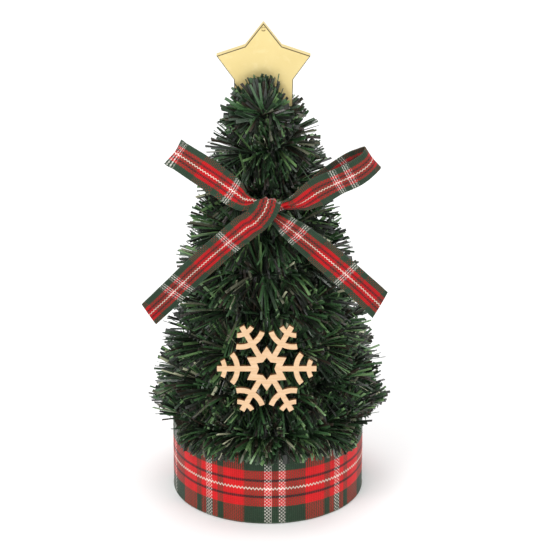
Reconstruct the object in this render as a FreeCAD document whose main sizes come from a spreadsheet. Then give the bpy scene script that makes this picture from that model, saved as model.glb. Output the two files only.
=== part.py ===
import FreeCAD, Part
import Sketcher
import math
import os
from FreeCAD import Vector, Rotation, Placement

# Artificial tabletop tree: a film-strip garland wound on a cardboard cone, standing on a
# ribbon-covered drum, with a tied ribbon bow, a plywood snowflake and a gold star on a pick.
# Frame: +Z up, front of the tree faces -Y, origin at the centre of the underside. Millimetres.

# Driving dimensions: alias, value, note. A "share" is a plain ratio.
SIZES = [
    # drum base
    ("drum_outer", 49.4, "outer radius of the drum's side tube"),
    ("drum_wall_t", 2.0, "thickness of the side tube"),
    ("drum_top", 40.0, "height of the drum's top face"),
    ("deck_t", 2.0, "thickness of the top disc"),
    ("floor_t", 2.0, "thickness of the bottom disc"),
    ("felt_t", 0.6, "thickness of the pad underneath"),
    ("felt_inset", 0.5, "the pad stops this far inside the tube"),
    ("glue_gap", 0.1, "glue line between nested round pieces"),
    ("ribbon_t", 0.5, "thickness of the base ribbon"),
    ("ribbon_low", 0.4, "height of the base ribbon's lower edge"),
    ("lap_angle", 13.0, "angle covered by the ribbon's lapped end"),
    ("ballast_radius", 42.0, "radius of the weight"),
    ("ballast_t", 12.0, "thickness of the weight"),
    ("ballast_edge", 1.5, "bevel on the weight's rim"),
    # trunk and cone
    ("dowel_radius", 3.0, "radius of the trunk dowel"),
    ("dowel_bore", 3.05, "radius of the holes the dowel sits in"),
    ("dowel_top", 188.0, "height of the dowel's top end"),
    ("cone_radius", 41.0, "outer radius of the cone where it meets the drum"),
    ("cone_slope", 0.21714, "outer radius lost for each millimetre of height"),
    ("cone_t", 1.228, "wall of the cone, measured level"),
    ("cone_top", 207.0, "height where the cone is cut off"),
    ("seat_t", 3.0, "height of the ring that centres the cone"),
    ("seat_w", 4.0, "width of that ring"),
    ("plug_low", 180.0, "height of the plug's lower end"),
    ("plug_high", 209.0, "height of the plug's upper end"),
    # garland
    ("wire_radius", 0.9, "radius of the twisted core wire"),
    ("wire_offset", 1.2, "core wire centre stands off the cone by this"),
    ("wire_low", 42.3, "height where the core wire starts"),
    ("wire_high", 209.5, "height where the core wire ends"),
    ("wire_pitch", 20.6, "rise of the garland in one turn"),
    ("row_first", 46.2, "height of the first row at the front"),
    ("row_inner", 2.6, "inner face of a garland turn stands off the cone by this"),
    ("row_reach", 18.7, "outer face at the wire's height stands off the cone by this"),
    ("row_reach_edge", 14.2, "outer face at the top and bottom of a turn"),
    ("row_gap", 0.6, "space between neighbouring turns"),
    ("row_low", 40.6, "lowest point of the first turn"),
    ("row_high", 210.4, "highest point of the last turn"),
    # star
    ("star_radius", 24.83, "centre to point"),
    ("star_notch", 15.65, "centre to notch"),
    ("star_height", 231.17, "height of the star's centre"),
    ("star_x", -2.0, "the star's centre, sideways from the trunk"),
    ("star_half", 2.5, "half the star's thickness"),
    ("star_seam", 0.05, "half the glue line between the two shells"),
    ("star_bevel", 0.4, "bevel round each face"),
    ("star_skin", 0.8, "thickness of each shell's face"),
    ("star_core", 0.88, "size of the hollow as a share of the star"),
    ("dimple_radius", 1.0, "radius of the dimple in the top point"),
    ("dimple_depth", 0.3, "depth of that dimple"),
    ("dimple_drop", 2.9, "the dimple's centre lies this far below the point"),
    ("pick_width", 4.0, "width of the flat pick"),
    ("pick_t", 2.0, "thickness of the pick"),
    ("pick_low", 190.0, "height of the pick's lower end"),
    ("pick_high", 231.0, "height of the pick's upper end"),
    ("pick_play", 0.1, "play on each side of the pick"),
    ("pick_notch_low", 1.16, "bottom of the shells' pick notch, share of star_notch"),
    ("pick_notch_high", 0.7, "top of the shells' pick notch, share of star_notch"),
    # snowflake; shares are of flake_radius
    ("flake_radius", 25.1, "centre to tip"),
    ("flake_t", 3.0, "plywood thickness"),
    ("flake_bar", 2.7, "width of an arm"),
    ("flake_x", -0.4, "centre, sideways"),
    ("flake_y", -52.6, "centre of the back face"),
    ("flake_z", 90.2, "centre, height"),
    ("flake_lean", 11.0, "lean back, degrees"),
    ("hub_notch", 0.285, "outside of the star ring, share at its notches"),
    ("hub_tip", 0.455, "outside of the star ring, share at its points"),
    ("opening_notch", 0.155, "opening of the star ring, share at its notches"),
    ("opening_tip", 0.233, "opening of the star ring, share at its points"),
    ("arm_start", 0.24, "inner end of an arm, share"),
    ("large_branch_middle", 0.59, "centre of the flake to the branch's middle, share"),
    ("large_branch_bend", 0.464, "bend radius at the branch's centreline, share"),
    ("large_branch_width", 0.105, "width of the branch, share"),
    ("large_branch_spread", 0.30, "arm to the branch's end on its centreline, share"),
    ("small_branch_middle", 0.845, "centre of the flake to the branch's middle, share"),
    ("small_branch_bend", 0.363, "bend radius at the branch's centreline, share"),
    ("small_branch_width", 0.092, "width of the branch, share"),
    ("small_branch_spread", 0.172, "arm to the branch's end on its centreline, share"),
    # bow
    ("bow_x", 0.8, "centre of the knot, sideways"),
    ("bow_y", -39.0, "centre of the knot, in depth"),
    ("bow_z", 169.2, "centre of the knot, height"),
    ("knot_radius", 6.2, "radius of the knot"),
    ("knot_half", 3.4, "half the knot's depth"),
    ("knot_face", 0.62, "radius of the knot's end faces, share of knot_radius"),
    ("knot_band", 0.55, "half the knot's straight rim, share of knot_half"),
    ("bow_ribbon", 15.0, "width of the bow ribbon"),
    ("bow_ribbon_t", 1.0, "thickness of the ribbon pieces"),
    ("loop_start", 7.3, "the ribbon pieces start this far from the knot's centre"),
    ("loop_left_rise", 33.5, "rise of the left loop, degrees"),
    ("loop_left_length", 56.0, "reach of the left loop"),
    ("loop_left_open", 4.6, "depth of the left loop"),
    ("loop_right_rise", 31.0, "rise of the right loop, degrees"),
    ("loop_right_length", 58.0, "reach of the right loop"),
    ("loop_right_open", 14.0, "depth of the right loop"),
    ("loop_flat", 1.15, "least half depth of a loop, in ribbon thicknesses"),
    ("loop_end_wall", 1.2, "wall at a loop's ends, in ribbon thicknesses"),
    ("pinch_low", 0.4, "height of a pinch cut near the knot, share of half the ribbon"),
    ("pinch_reach", 15.0, "a pinch cut runs this far past the loop's start"),
    ("pinch_over", 0.4, "a pinch cut ends this far beyond the ribbon's edge"),
    ("pinch_spare", 4.0, "a pinch cut is this much deeper than the loop"),
    ("tail_left_fall", 42.5, "fall of the left tail, degrees"),
    ("tail_left_length", 82.5, "reach of the left tail"),
    ("tail_right_fall", 40.0, "fall of the right tail, degrees"),
    ("tail_right_length", 75.5, "reach of the right tail"),
    ("tail_slant", 2.1, "how far the cut end slants each way"),
    ("tail_root", 0.55, "height of a tail at the knot, share of its full width"),
    ("tail_taper", 12.0, "a tail reaches full width this far past its start"),
    # glue
    ("glue_dot", 1.05, "radius of the glue dots on the garland's ends"),
    ("glue_start_drop", 0.15, "the lower dot lies this far below the wire's start"),
    ("glue_back_gap", 0.1, "the glue pads stop this far in front of the garland"),
    ("bow_glue_radius", 3.6, "radius of the pad behind the bow"),
    ("bow_glue_gap", 0.05, "that pad starts this far behind the knot"),
    ("flake_glue_radius", 2.2, "radius of the pads behind the snowflake"),
    ("flake_glue_gap", 1.3, "those pads start this far behind flake_y"),
    ("flake_glue_side", 6.6, "those pads stand this far each side of its centre"),
    ("flake_glue_rise", 0.6, "those pads lie this far above the row's height"),
]

ROWS = 9  # turns of the garland
FLAKE_ROW, BOW_ROW = 2, 6  # the turns behind the snowflake and the bow, counted from 0
STEPS_PER_TURN = 24  # straight lengths of core wire in one turn
OVERCUT = 1  # how far some cuts run past the material

# Half outline of a bow loop: share of the way along, share of its opening there.
LOOP_STATIONS = [
    (0.0, 0.16), (0.2, 0.62), (0.45, 0.93), (0.68, 1.0),
    (0.86, 0.86), (0.96, 0.5), (1.0, 0.12),
]

doc = FreeCAD.newDocument("tabletop_tree")
sheet = doc.addObject("Spreadsheet::Sheet", "dims")
VALUES = {}
for row, (alias, value, note) in enumerate(SIZES, start=1):
    sheet.set("A%d" % row, alias)
    sheet.set("B%d" % row, "%s" % value)
    sheet.set("C%d" % row, note)
    sheet.setAlias("B%d" % row, alias)
    VALUES[alias] = value
doc.recompute()


# ------------------------------------------------------------------ sizes
class Size:
    """A value worked out from the sheet: its number now and the expression that gives it."""

    def __init__(self, number, text):
        self.number = number
        self.text = text

    def __add__(self, other):
        other = as_size(other)
        return Size(self.number + other.number, "(%s + %s)" % (self.text, other.text))

    def __radd__(self, other):
        return as_size(other) + self

    def __sub__(self, other):
        other = as_size(other)
        return Size(self.number - other.number, "(%s - %s)" % (self.text, other.text))

    def __mul__(self, other):
        other = as_size(other)
        return Size(self.number * other.number, "(%s * %s)" % (self.text, other.text))

    def __rmul__(self, other):
        return as_size(other) * self

    def __truediv__(self, other):
        other = as_size(other)
        return Size(self.number / other.number, "(%s / %s)" % (self.text, other.text))

    def __neg__(self):
        return Size(-self.number, "(0 - %s)" % self.text)


def as_size(value):
    if isinstance(value, Size):
        return value
    if value < 0:
        return Size(float(value), "(0 - %.9g)" % -value)
    return Size(float(value), "%.9g" % value)


def cell(alias):
    return Size(VALUES[alias], "dims.%s" % alias)


def cosine(degrees):
    degrees = as_size(degrees)
    return Size(math.cos(math.radians(degrees.number)), "cos(%s * 1 deg)" % degrees.text)


def sine(degrees):
    degrees = as_size(degrees)
    return Size(math.sin(math.radians(degrees.number)), "sin(%s * 1 deg)" % degrees.text)


# ------------------------------------------------------------------ objects
PIECES = []


def keep(obj, label):
    """Lists an object as a piece to export."""
    obj.Label = label
    PIECES.append(obj)
    return obj


def bind(obj, prop, size):
    obj.setExpression(prop, as_size(size).text)


def place(obj, x=0, y=0, z=0, axis=None, angle=None):
    if axis is not None:
        turned_by = Rotation(Vector(*axis), as_size(angle).number)
        obj.Placement = Placement(Vector(0, 0, 0), turned_by)
        bind(obj, "Placement.Rotation.Angle", angle)
    bind(obj, "Placement.Base.x", x)
    bind(obj, "Placement.Base.y", y)
    bind(obj, "Placement.Base.z", z)


def primitive(kind, name, **sizes):
    """A Part primitive with its properties bound to the sheet."""
    obj = doc.addObject("Part::" + kind, name)
    for prop, size in sizes.items():
        bind(obj, prop, size)
    return obj


def cylinder(label, radius, height, z):
    obj = keep(primitive("Cylinder", label, Radius=radius, Height=height), label)
    place(obj, 0, 0, z)


def body_named(label):
    return keep(doc.addObject("PartDesign::Body", label), label)


# ------------------------------------------------------------------ sketches
def sketch_on(body, name, role):
    sketch = body.newObject("Sketcher::SketchObject", name)
    plane = [f for f in body.Origin.OriginFeatures if f.Role == role][0]
    sketch.AttachmentSupport = [(plane, "")]
    sketch.MapMode = "FlatFace"
    return sketch


def drive(sketch, kind, where, size):
    """A dimension in a sketch, tied to the sheet."""
    size = as_size(size)
    index = sketch.addConstraint(Sketcher.Constraint(kind, *where, size.number))
    sketch.setExpression("Constraints[%d]" % index, size.text)


def outline(sketch, points):
    """A closed run of lines through the points, each corner tied to the sheet."""
    points = [(as_size(x), as_size(y)) for x, y in points]
    corners = [Vector(x.number, y.number, 0) for x, y in points]
    first = sketch.GeometryCount
    count = len(points)
    for i in range(count):
        sketch.addGeometry(Part.LineSegment(corners[i], corners[(i + 1) % count]), False)
    for i in range(count):
        following = first + (i + 1) % count
        sketch.addConstraint(Sketcher.Constraint("Coincident", first + i, 2, following, 1))
    for line, (x, y) in enumerate(points, start=first):
        drive(sketch, "DistanceX", (-1, 1, line, 1), x)
        drive(sketch, "DistanceY", (-1, 1, line, 1), y)


def circle(sketch, radius, centre_y=None):
    """A circle about the sketch's origin, or about a point on its vertical axis."""
    height = 0 if centre_y is None else centre_y.number
    shape = Part.Circle(Vector(0, height, 0), Vector(0, 0, 1), radius.number)
    index = sketch.addGeometry(shape, False)
    if centre_y is None:
        sketch.addConstraint(Sketcher.Constraint("Coincident", index, 3, -1, 1))
    else:
        sketch.addConstraint(Sketcher.Constraint("PointOnObject", index, 3, -2))
        drive(sketch, "DistanceY", (-1, 1, index, 3), centre_y)
    drive(sketch, "Radius", (index,), radius)


def zigzag(even_reach, odd_reach, count, first_angle):
    """Evenly turned corners whose distance from the centre alternates."""
    points = []
    for i in range(count):
        reach = odd_reach if i % 2 else even_reach
        angle = first_angle + 360 / count * i
        points.append((reach * cosine(angle), reach * sine(angle)))
    return points


# ------------------------------------------------------------------ features
def extrude(body, kind, name, sketch, length, midplane=False, flip=False):
    """A Pad, which grows along the sketch's normal, or a Pocket, which cuts against it."""
    feature = body.newObject("PartDesign::" + kind, name)
    feature.Profile = sketch
    feature.Midplane = midplane
    feature.Reversed = flip
    feature.Length = as_size(length).number
    bind(feature, "Length", length)
    return feature


def turn(body, name, sketch, angle=360, line="V_Axis", midplane=False):
    feature = body.newObject("PartDesign::Revolution", name)
    feature.Profile = sketch
    feature.ReferenceAxis = (sketch, [line])
    feature.Midplane = midplane
    feature.Angle = as_size(angle).number
    if isinstance(angle, Size):
        bind(feature, "Angle", angle)


def turned(label, points):
    """A piece turned about the vertical axis from (radius, height) corners."""
    body = body_named(label)
    sketch = sketch_on(body, label + "_profile", "XZ_Plane")
    outline(sketch, points)
    turn(body, label + "_turned", sketch)
    return body


# ------------------------------------------------------------------ shared places
def cone_at(z):
    """Outer radius of the cone at a height."""
    return cell("cone_radius") - cell("cone_slope") * (as_size(z) - cell("drum_top"))


def fit_in_cone(z):
    """Outer radius, at a height, of a piece glued inside the cone."""
    return cone_at(z) - cell("cone_t") - cell("glue_gap")


def row_height(row):
    """Height of a garland turn at the front; rows count from 0."""
    return cell("row_first") + row * cell("wire_pitch")


def row_face(row):
    """Y of the front of a garland turn."""
    return -(cone_at(row_height(row)) + cell("row_reach"))


def wire_reach(z):
    return cone_at(z) + cell("wire_offset")


def wire_bearing(z):
    """Degrees round from +X where the core wire passes a height."""
    return 360 * ((as_size(z) - cell("row_first")) / cell("wire_pitch")) - 90


drum_top = cell("drum_top")
drum_outer = cell("drum_outer")
drum_inner = drum_outer - cell("drum_wall_t")
felt_high = cell("felt_t")
floor_high = felt_high + cell("floor_t")
deck_low = drum_top - cell("deck_t")
dowel_bore = cell("dowel_bore")
slot_half = cell("pick_width") / 2 + cell("pick_play")
loop_start = cell("loop_start")
ribbon_half = cell("bow_ribbon") / 2


# ------------------------------------------------------------------ drum base
def build_drum_wall():
    turned("drum_wall", [
        (drum_inner, felt_high),
        (drum_outer, felt_high),
        (drum_outer, deck_low),
        (drum_inner, deck_low),
    ])


def build_drum_deck():
    deck = body_named("drum_deck")
    disc = sketch_on(deck, "deck_disc", "XY_Plane")
    circle(disc, drum_outer)
    circle(disc, dowel_bore)
    extrude(deck, "Pad", "deck_board", disc, cell("deck_t"))
    place(deck, 0, 0, deck_low)


def build_ballast():
    radius, edge = cell("ballast_radius"), cell("ballast_edge")
    top = floor_high + cell("ballast_t")
    turned("ballast_disc", [
        (dowel_bore, floor_high),
        (radius, floor_high),
        (radius, top - edge),
        (radius - edge, top),
        (dowel_bore, top),
    ])


def build_base_ribbon():
    """The ribbon goes once round and its end is lapped over its start at the back."""
    body = body_named("base_ribbon")
    thickness = cell("ribbon_t")
    inner = drum_outer + cell("glue_gap")
    outer = inner + thickness

    def section(name, inside, outside):
        sketch = sketch_on(body, name, "YZ_Plane")
        low = cell("ribbon_low")
        outline(sketch, [(inside, low), (outside, low), (outside, drum_top), (inside, drum_top)])
        return sketch

    turn(body, "ribbon_wrap", section("ribbon_section", inner, outer))
    # The lap starts half a thickness deep, so it joins the wrap.
    lap = section("lap_section", outer - thickness / 2, outer + thickness)
    turn(body, "ribbon_lap", lap, cell("lap_angle"), midplane=True)


# ------------------------------------------------------------------ cone
def build_cone():
    top, wall = cell("cone_top"), cell("cone_t")
    turned("core_cone", [
        (cone_at(drum_top) - wall, drum_top),
        (cone_at(drum_top), drum_top),
        (cone_at(top), top),
        (cone_at(top) - wall, top),
    ])


def build_cone_seat():
    top = drum_top + cell("seat_t")
    outer = fit_in_cone(top)
    inner = outer - cell("seat_w")
    turned("cone_seat_ring", [(inner, drum_top), (outer, drum_top), (outer, top), (inner, top)])


def build_apex_plug():
    """Plug in the cone's top: bored from below for the dowel, slotted from above for the pick."""
    low, high = cell("plug_low"), cell("plug_high")
    cone_top, dowel_top = cell("cone_top"), cell("dowel_top")
    plug = turned("apex_plug", [
        (dowel_bore, low),
        (fit_in_cone(low), low),
        (fit_in_cone(cone_top), cone_top),
        (fit_in_cone(cone_top), high),
        (0, high),
        (0, dowel_top),
        (dowel_bore, dowel_top),
    ])
    slot = sketch_on(plug, "plug_slot_outline", "XZ_Plane")
    slot_low = cell("pick_low") - cell("pick_play")
    slot_high = high + OVERCUT
    outline(slot, [
        (-slot_half, slot_low),
        (slot_half, slot_low),
        (slot_half, slot_high),
        (-slot_half, slot_high),
    ])
    slot_depth = cell("pick_t") + 2 * cell("pick_play")
    extrude(plug, "Pocket", "plug_slot", slot, slot_depth, midplane=True)


# ------------------------------------------------------------------ garland
def build_garland_wire():
    """The core wire: a right-handed conical helix in short straight lengths, mitred."""
    # The corners lie about as far outside the helix as the middles of the lengths lie inside.
    outset = (1 + 1 / math.cos(math.pi / STEPS_PER_TURN)) / 2
    climb = VALUES["wire_high"] - VALUES["wire_low"]
    steps = round(climb / VALUES["wire_pitch"] * STEPS_PER_TURN)
    corners = []
    for i in range(steps + 1):
        z = VALUES["wire_low"] + climb * i / steps
        bearing = math.radians(wire_bearing(z).number)
        reach = wire_reach(z).number * outset
        corners.append(Vector(reach * math.cos(bearing), reach * math.sin(bearing), z))
    path = doc.addObject("Part::Polygon", "garland_path")
    path.Nodes = corners
    path.Close = False
    section = primitive("Circle", "garland_wire_section", Radius=cell("wire_radius"))
    along = Rotation(Vector(0, 0, 1), corners[1] - corners[0])
    section.Placement = Placement(corners[0], along)
    wire = keep(doc.addObject("Part::Sweep", "garland_wire"), "garland_wire")
    wire.Sections = [section]
    wire.Spine = (path, [])
    wire.Solid = True
    wire.Frenet = False
    wire.Transition = "Right corner"


def build_garland_turn(row):
    """One turn of film strips as a ring round the wire, clear of its neighbours."""
    middle = row_height(row)
    half = cell("wire_pitch") / 2 - cell("row_gap") / 2
    low = cell("row_low") if row == 0 else middle - half
    last = row == ROWS - 1
    high = cell("row_high") if last else middle + half
    edge = cell("row_reach_edge")
    points = [(cone_at(low) + cell("row_inner"), low), (cone_at(low) + edge, low)]
    # The last turn is cut off below its middle, so it has no bulge.
    if not last:
        points.append((cone_at(middle) + cell("row_reach"), middle))
    points += [(cone_at(high) + edge, high), (cone_at(high) + cell("row_inner"), high)]
    turned("garland_turn_%d" % (row + 1), points)


# ------------------------------------------------------------------ star
def bevel_face(body, name, rim_pad, face_y):
    """Bevels the edges of the rim pad that lie in the plane y = face_y."""
    doc.recompute()
    edges = []
    for i, edge in enumerate(rim_pad.Shape.Edges, start=1):
        if all(abs(vertex.Point.y - face_y) < 1e-6 for vertex in edge.Vertexes):
            edges.append("Edge%d" % i)
    bevel = body.newObject("PartDesign::Chamfer", name)
    bevel.Base = (rim_pad, edges)
    bind(bevel, "Size", cell("star_bevel"))


def build_star_shell(label, back):
    """Half of the five-pointed star, hollowed from the seam side and notched for the pick."""
    body = body_named(label)
    wall = cell("star_half") - cell("star_seam")
    tip, notch = cell("star_radius"), cell("star_notch")

    rim = sketch_on(body, label + "_rim", "XZ_Plane")
    outline(rim, zigzag(tip, notch, 10, 90))
    rim_pad = extrude(body, "Pad", label + "_rim_pad", rim, wall, flip=back)
    bevel_face(body, label + "_bevel", rim_pad, wall.number if back else -wall.number)

    hollow = sketch_on(body, label + "_hollow", "XZ_Plane")
    core = cell("star_core")
    outline(hollow, zigzag(tip * core, notch * core, 10, 90))
    hollow_depth = wall - cell("star_skin")
    extrude(body, "Pocket", label + "_hollow_cut", hollow, hollow_depth, flip=not back)

    # The pick runs up the trunk's axis, which is off the star's centre.
    pick_notch = sketch_on(body, label + "_notch", "XZ_Plane")
    left = -cell("star_x") - slot_half
    right = -cell("star_x") + slot_half
    low = -notch * cell("pick_notch_low")
    high = -notch * cell("pick_notch_high")
    outline(pick_notch, [(left, low), (right, low), (right, high), (left, high)])
    notch_depth = cell("pick_t") / 2 + cell("pick_play")
    extrude(body, "Pocket", label + "_notch_cut", pick_notch, notch_depth, flip=not back)

    if not back:
        cut_dimple(body, label, wall)
    seam = cell("star_seam")
    place(body, cell("star_x"), seam if back else -seam, cell("star_height"))


def cut_dimple(body, label, wall):
    """A shallow round dimple in the front face of the top point."""
    sketch = sketch_on(body, label + "_dimple", "XZ_Plane")
    floor = wall - cell("dimple_depth")
    sketch.AttachmentOffset = Placement(Vector(0, 0, floor.number), Rotation())
    bind(sketch, "AttachmentOffset.Base.z", floor)
    circle(sketch, cell("dimple_radius"), cell("star_radius") - cell("dimple_drop"))
    depth = cell("dimple_depth") + OVERCUT
    extrude(body, "Pocket", label + "_dimple_cut", sketch, depth, flip=True)


def build_star_pick():
    width, thickness, low = cell("pick_width"), cell("pick_t"), cell("pick_low")
    height = cell("pick_high") - low
    pick = primitive("Box", "star_pick", Length=width, Width=thickness, Height=height)
    keep(pick, "star_pick")
    place(pick, -width / 2, -thickness / 2, low)


# ------------------------------------------------------------------ snowflake
def flake_branch(body, kind):
    """A curved branch across the arm along +X, its ends bent outwards."""
    name = "flake_" + kind
    reach = cell("flake_radius")
    bend, width = cell(kind + "_bend"), cell(kind + "_width")
    centre = reach * (cell(kind + "_middle") + bend)
    side_share = cell(kind + "_spread") / bend
    half_angle = math.asin(side_share.number)
    sketch = sketch_on(body, name + "_outline", "XZ_Plane")
    arcs = []
    for radius in (reach * (bend + width / 2), reach * (bend - width / 2)):
        full = Part.Circle(Vector(centre.number, 0, 0), Vector(0, 0, 1), radius.number)
        arc = Part.ArcOfCircle(full, math.pi - half_angle, math.pi + half_angle)
        index = sketch.addGeometry(arc, False)
        arcs.append(index)
        drive(sketch, "DistanceX", (-1, 1, index, 3), centre)
        sketch.addConstraint(Sketcher.Constraint("PointOnObject", index, 3, -1))
        drive(sketch, "Radius", (index,), radius)
        side = radius * side_share
        drive(sketch, "DistanceY", (-1, 1, index, 1), side)
        drive(sketch, "DistanceY", (-1, 1, index, 2), -side)
    for end in (1, 2):
        ends = [sketch.getPoint(arc, end) for arc in arcs]
        line = sketch.addGeometry(Part.LineSegment(*ends), False)
        sketch.addConstraint(Sketcher.Constraint("Coincident", line, 1, arcs[0], end))
        sketch.addConstraint(Sketcher.Constraint("Coincident", line, 2, arcs[1], end))
    return extrude(body, "Pad", name, sketch, cell("flake_t"))


def build_snowflake():
    """Returns the last feature of the single arm and the pattern that repeats it."""
    flake = body_named("snowflake")
    reach = cell("flake_radius")

    # A six-pointed star ring; its points lie between the arms.
    hub = sketch_on(flake, "flake_hub", "XZ_Plane")
    for ring in ("hub", "opening"):
        outline(hub, zigzag(reach * cell(ring + "_notch"), reach * cell(ring + "_tip"), 12, 0))
    extrude(flake, "Pad", "flake_hub_pad", hub, cell("flake_t"))

    bar = sketch_on(flake, "flake_bar_outline", "XZ_Plane")
    start, half = reach * cell("arm_start"), cell("flake_bar") / 2
    outline(bar, [(start, -half), (reach, -half), (reach, half), (start, half)])
    bar_pad = extrude(flake, "Pad", "flake_arm", bar, cell("flake_t"))
    large = flake_branch(flake, "large_branch")
    small = flake_branch(flake, "small_branch")

    # The first arm is computed before it is repeated.
    doc.recompute()
    arms = flake.newObject("PartDesign::PolarPattern", "flake_six_arms")
    arms.Originals = [bar_pad, large, small]
    arms.Axis = (hub, ["N_Axis"])
    arms.Angle = 360
    arms.Occurrences = 6
    flake.Tip = arms
    place(flake, cell("flake_x"), cell("flake_y"), cell("flake_z"),
          axis=(1, 0, 0), angle=-cell("flake_lean"))
    return small, arms


# ------------------------------------------------------------------ bow
# For the ribbon pieces, side is -1 on the left and 1 on the right.
def place_on_bow(body, angle=None):
    """Puts a piece at the knot, turned about the front-to-back axis if an angle is given."""
    axis = None if angle is None else (0, 1, 0)
    place(body, cell("bow_x"), cell("bow_y"), cell("bow_z"), axis, angle)


def build_bow_knot():
    knot = body_named("bow_knot")
    sketch = sketch_on(knot, "knot_profile", "YZ_Plane")
    half, radius = cell("knot_half"), cell("knot_radius")
    face, band = radius * cell("knot_face"), half * cell("knot_band")
    outline(sketch, [
        (-half, 0), (-half, face), (-band, radius),
        (band, radius), (half, face), (half, 0),
    ])
    turn(knot, "knot_turned", sketch, line="H_Axis")
    place_on_bow(knot)


def loop_contour(side, length, opening, inset):
    """Outline of a loop seen from above, drawn in from its outside by the inset."""
    span = length - loop_start
    end_inset = inset * cell("loop_end_wall")
    least = cell("bow_ribbon_t") * cell("loop_flat")
    front, back = [], []
    for along, share in LOOP_STATIONS:
        x = side * (loop_start + end_inset + (span - end_inset * 2) * along)
        depth = least + (opening / 2 - least) * share - inset
        front.append((x, -depth))
        back.append((x, depth))
    return front + back[::-1]


def build_bow_loop(name, side):
    """A closed band of ribbon standing on edge, pinched where it enters the knot."""
    length, opening, rise = [cell("loop_%s_%s" % (name, k)) for k in ("length", "open", "rise")]
    label = "bow_loop_" + name
    body = body_named(label)
    band = sketch_on(body, label + "_band", "XY_Plane")
    for inset in (as_size(0), cell("bow_ribbon_t")):
        outline(band, loop_contour(side, length, opening, inset))
    extrude(body, "Pad", label + "_pad", band, cell("bow_ribbon"), midplane=True)

    near, far = side * (loop_start - OVERCUT), side * (loop_start + cell("pinch_reach"))
    edge = ribbon_half + cell("pinch_over")
    for where, up in (("upper", 1), ("lower", -1)):
        pinch = sketch_on(body, "%s_%s_pinch" % (label, where), "XZ_Plane")
        outline(pinch, [
            (near, up * ribbon_half * cell("pinch_low")),
            (far, up * edge),
            (near, up * edge),
        ])
        depth = opening + cell("pinch_spare")
        extrude(body, "Pocket", "%s_%s_cut" % (label, where), pinch, depth, midplane=True)
    place_on_bow(body, -side * rise)


def build_bow_tail(name, side):
    """A free end of the bow ribbon with a slanting cut."""
    length, fall = [cell("tail_%s_%s" % (name, k)) for k in ("length", "fall")]
    label = "bow_tail_" + name
    body = body_named(label)
    sketch = sketch_on(body, label + "_outline", "XZ_Plane")
    root = ribbon_half * cell("tail_root")
    full = loop_start + cell("tail_taper")
    slant = cell("tail_slant")
    outline(sketch, [
        (side * loop_start, -root),
        (side * full, -ribbon_half),
        (side * (length + slant), -ribbon_half),
        (side * (length - slant), ribbon_half),
        (side * full, ribbon_half),
        (side * loop_start, root),
    ])
    extrude(body, "Pad", label + "_pad", sketch, cell("bow_ribbon_t"), midplane=True)
    place_on_bow(body, side * fall)


# ------------------------------------------------------------------ glue
def glue_dot(name, wire_end, z, step):
    """A ball just past an end of the wire; step is 1 beyond the upper end, -1 the lower."""
    obj = primitive("Sphere", name, Radius=cell("glue_dot"))
    reach, angle = wire_reach(wire_end), wire_bearing(wire_end)
    away = (cell("glue_dot") + 3 * cell("glue_gap")) * step
    x = reach * cosine(angle) - away * sine(angle)
    y = reach * sine(angle) + away * cosine(angle)
    place(obj, x, y, z)
    return obj


def glue_pad(name, x, z, front, row, radius):
    """A round pad from y = front back to just short of a garland turn."""
    back = row_face(row) - cell("glue_back_gap")
    obj = primitive("Cylinder", name, Radius=radius, Height=back - front)
    place(obj, x, back, z, axis=(1, 0, 0), angle=90)
    return obj


def build_glue():
    """Dots on the two ends of the garland, and pads behind the bow and the snowflake."""
    low, high = cell("wire_low"), cell("wire_high")
    dabs = [
        glue_dot("glue_at_start", low, low - cell("glue_start_drop"), -1),
        glue_dot("glue_at_end", high, high, 1),
    ]
    bow_front = cell("bow_y") + cell("knot_half") + cell("bow_glue_gap")
    dabs.append(glue_pad("glue_behind_bow", cell("bow_x"), cell("bow_z"),
                         bow_front, BOW_ROW, cell("bow_glue_radius")))
    # One pad each side of the snowflake's centre, so its opening stays clear.
    flake_front = cell("flake_y") + cell("flake_glue_gap")
    z = row_height(FLAKE_ROW) + cell("flake_glue_rise")
    for name, side in (("left", -1), ("right", 1)):
        x = cell("flake_x") + cell("flake_glue_side") * side
        dabs.append(glue_pad("glue_behind_flake_" + name, x, z,
                             flake_front, FLAKE_ROW, cell("flake_glue_radius")))
    glue = keep(doc.addObject("Part::Compound", "hot_glue_dabs"), "hot_glue_dabs")
    glue.Links = dabs


# ------------------------------------------------------------------ build
cylinder("felt_pad", drum_outer - cell("felt_inset"), felt_high, 0)
cylinder("drum_floor", drum_inner - cell("glue_gap"), cell("floor_t"), felt_high)
build_drum_wall()
build_drum_deck()
build_ballast()
build_base_ribbon()
cylinder("trunk_dowel", cell("dowel_radius"), cell("dowel_top") - floor_high, floor_high)
build_cone()
build_cone_seat()
build_apex_plug()
build_garland_wire()
for row in range(ROWS):
    build_garland_turn(row)
build_star_shell("star_front_shell", back=False)
build_star_shell("star_back_shell", back=True)
build_star_pick()
one_arm, six_arms = build_snowflake()
build_bow_knot()
for name, side in (("left", -1), ("right", 1)):
    build_bow_loop(name, side)
for name, side in (("left", -1), ("right", 1)):
    build_bow_tail(name, side)
build_glue()
doc.recompute()

# ------------------------------------------------------------------ check and write
problems = []
for obj in doc.Objects:
    if "Invalid" in obj.State or "Error" in obj.State:
        problems.append("%s: %s" % (obj.Label, obj.State))
    elif obj.TypeId == "PartDesign::Pocket":
        if obj.Shape.Volume >= obj.BaseFeature.Shape.Volume:
            problems.append("%s: nothing was cut" % obj.Label)
for piece in PIECES:
    if piece.Shape.isNull() or not piece.Shape.isValid() or not piece.Shape.Solids:
        problems.append("%s: no valid solid" % piece.Label)
if not six_arms.Shape.Volume > one_arm.Shape.Volume * 1.5:
    problems.append("snowflake: the six arms are missing")
if problems:
    raise SystemExit("\n".join(problems))

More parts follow.
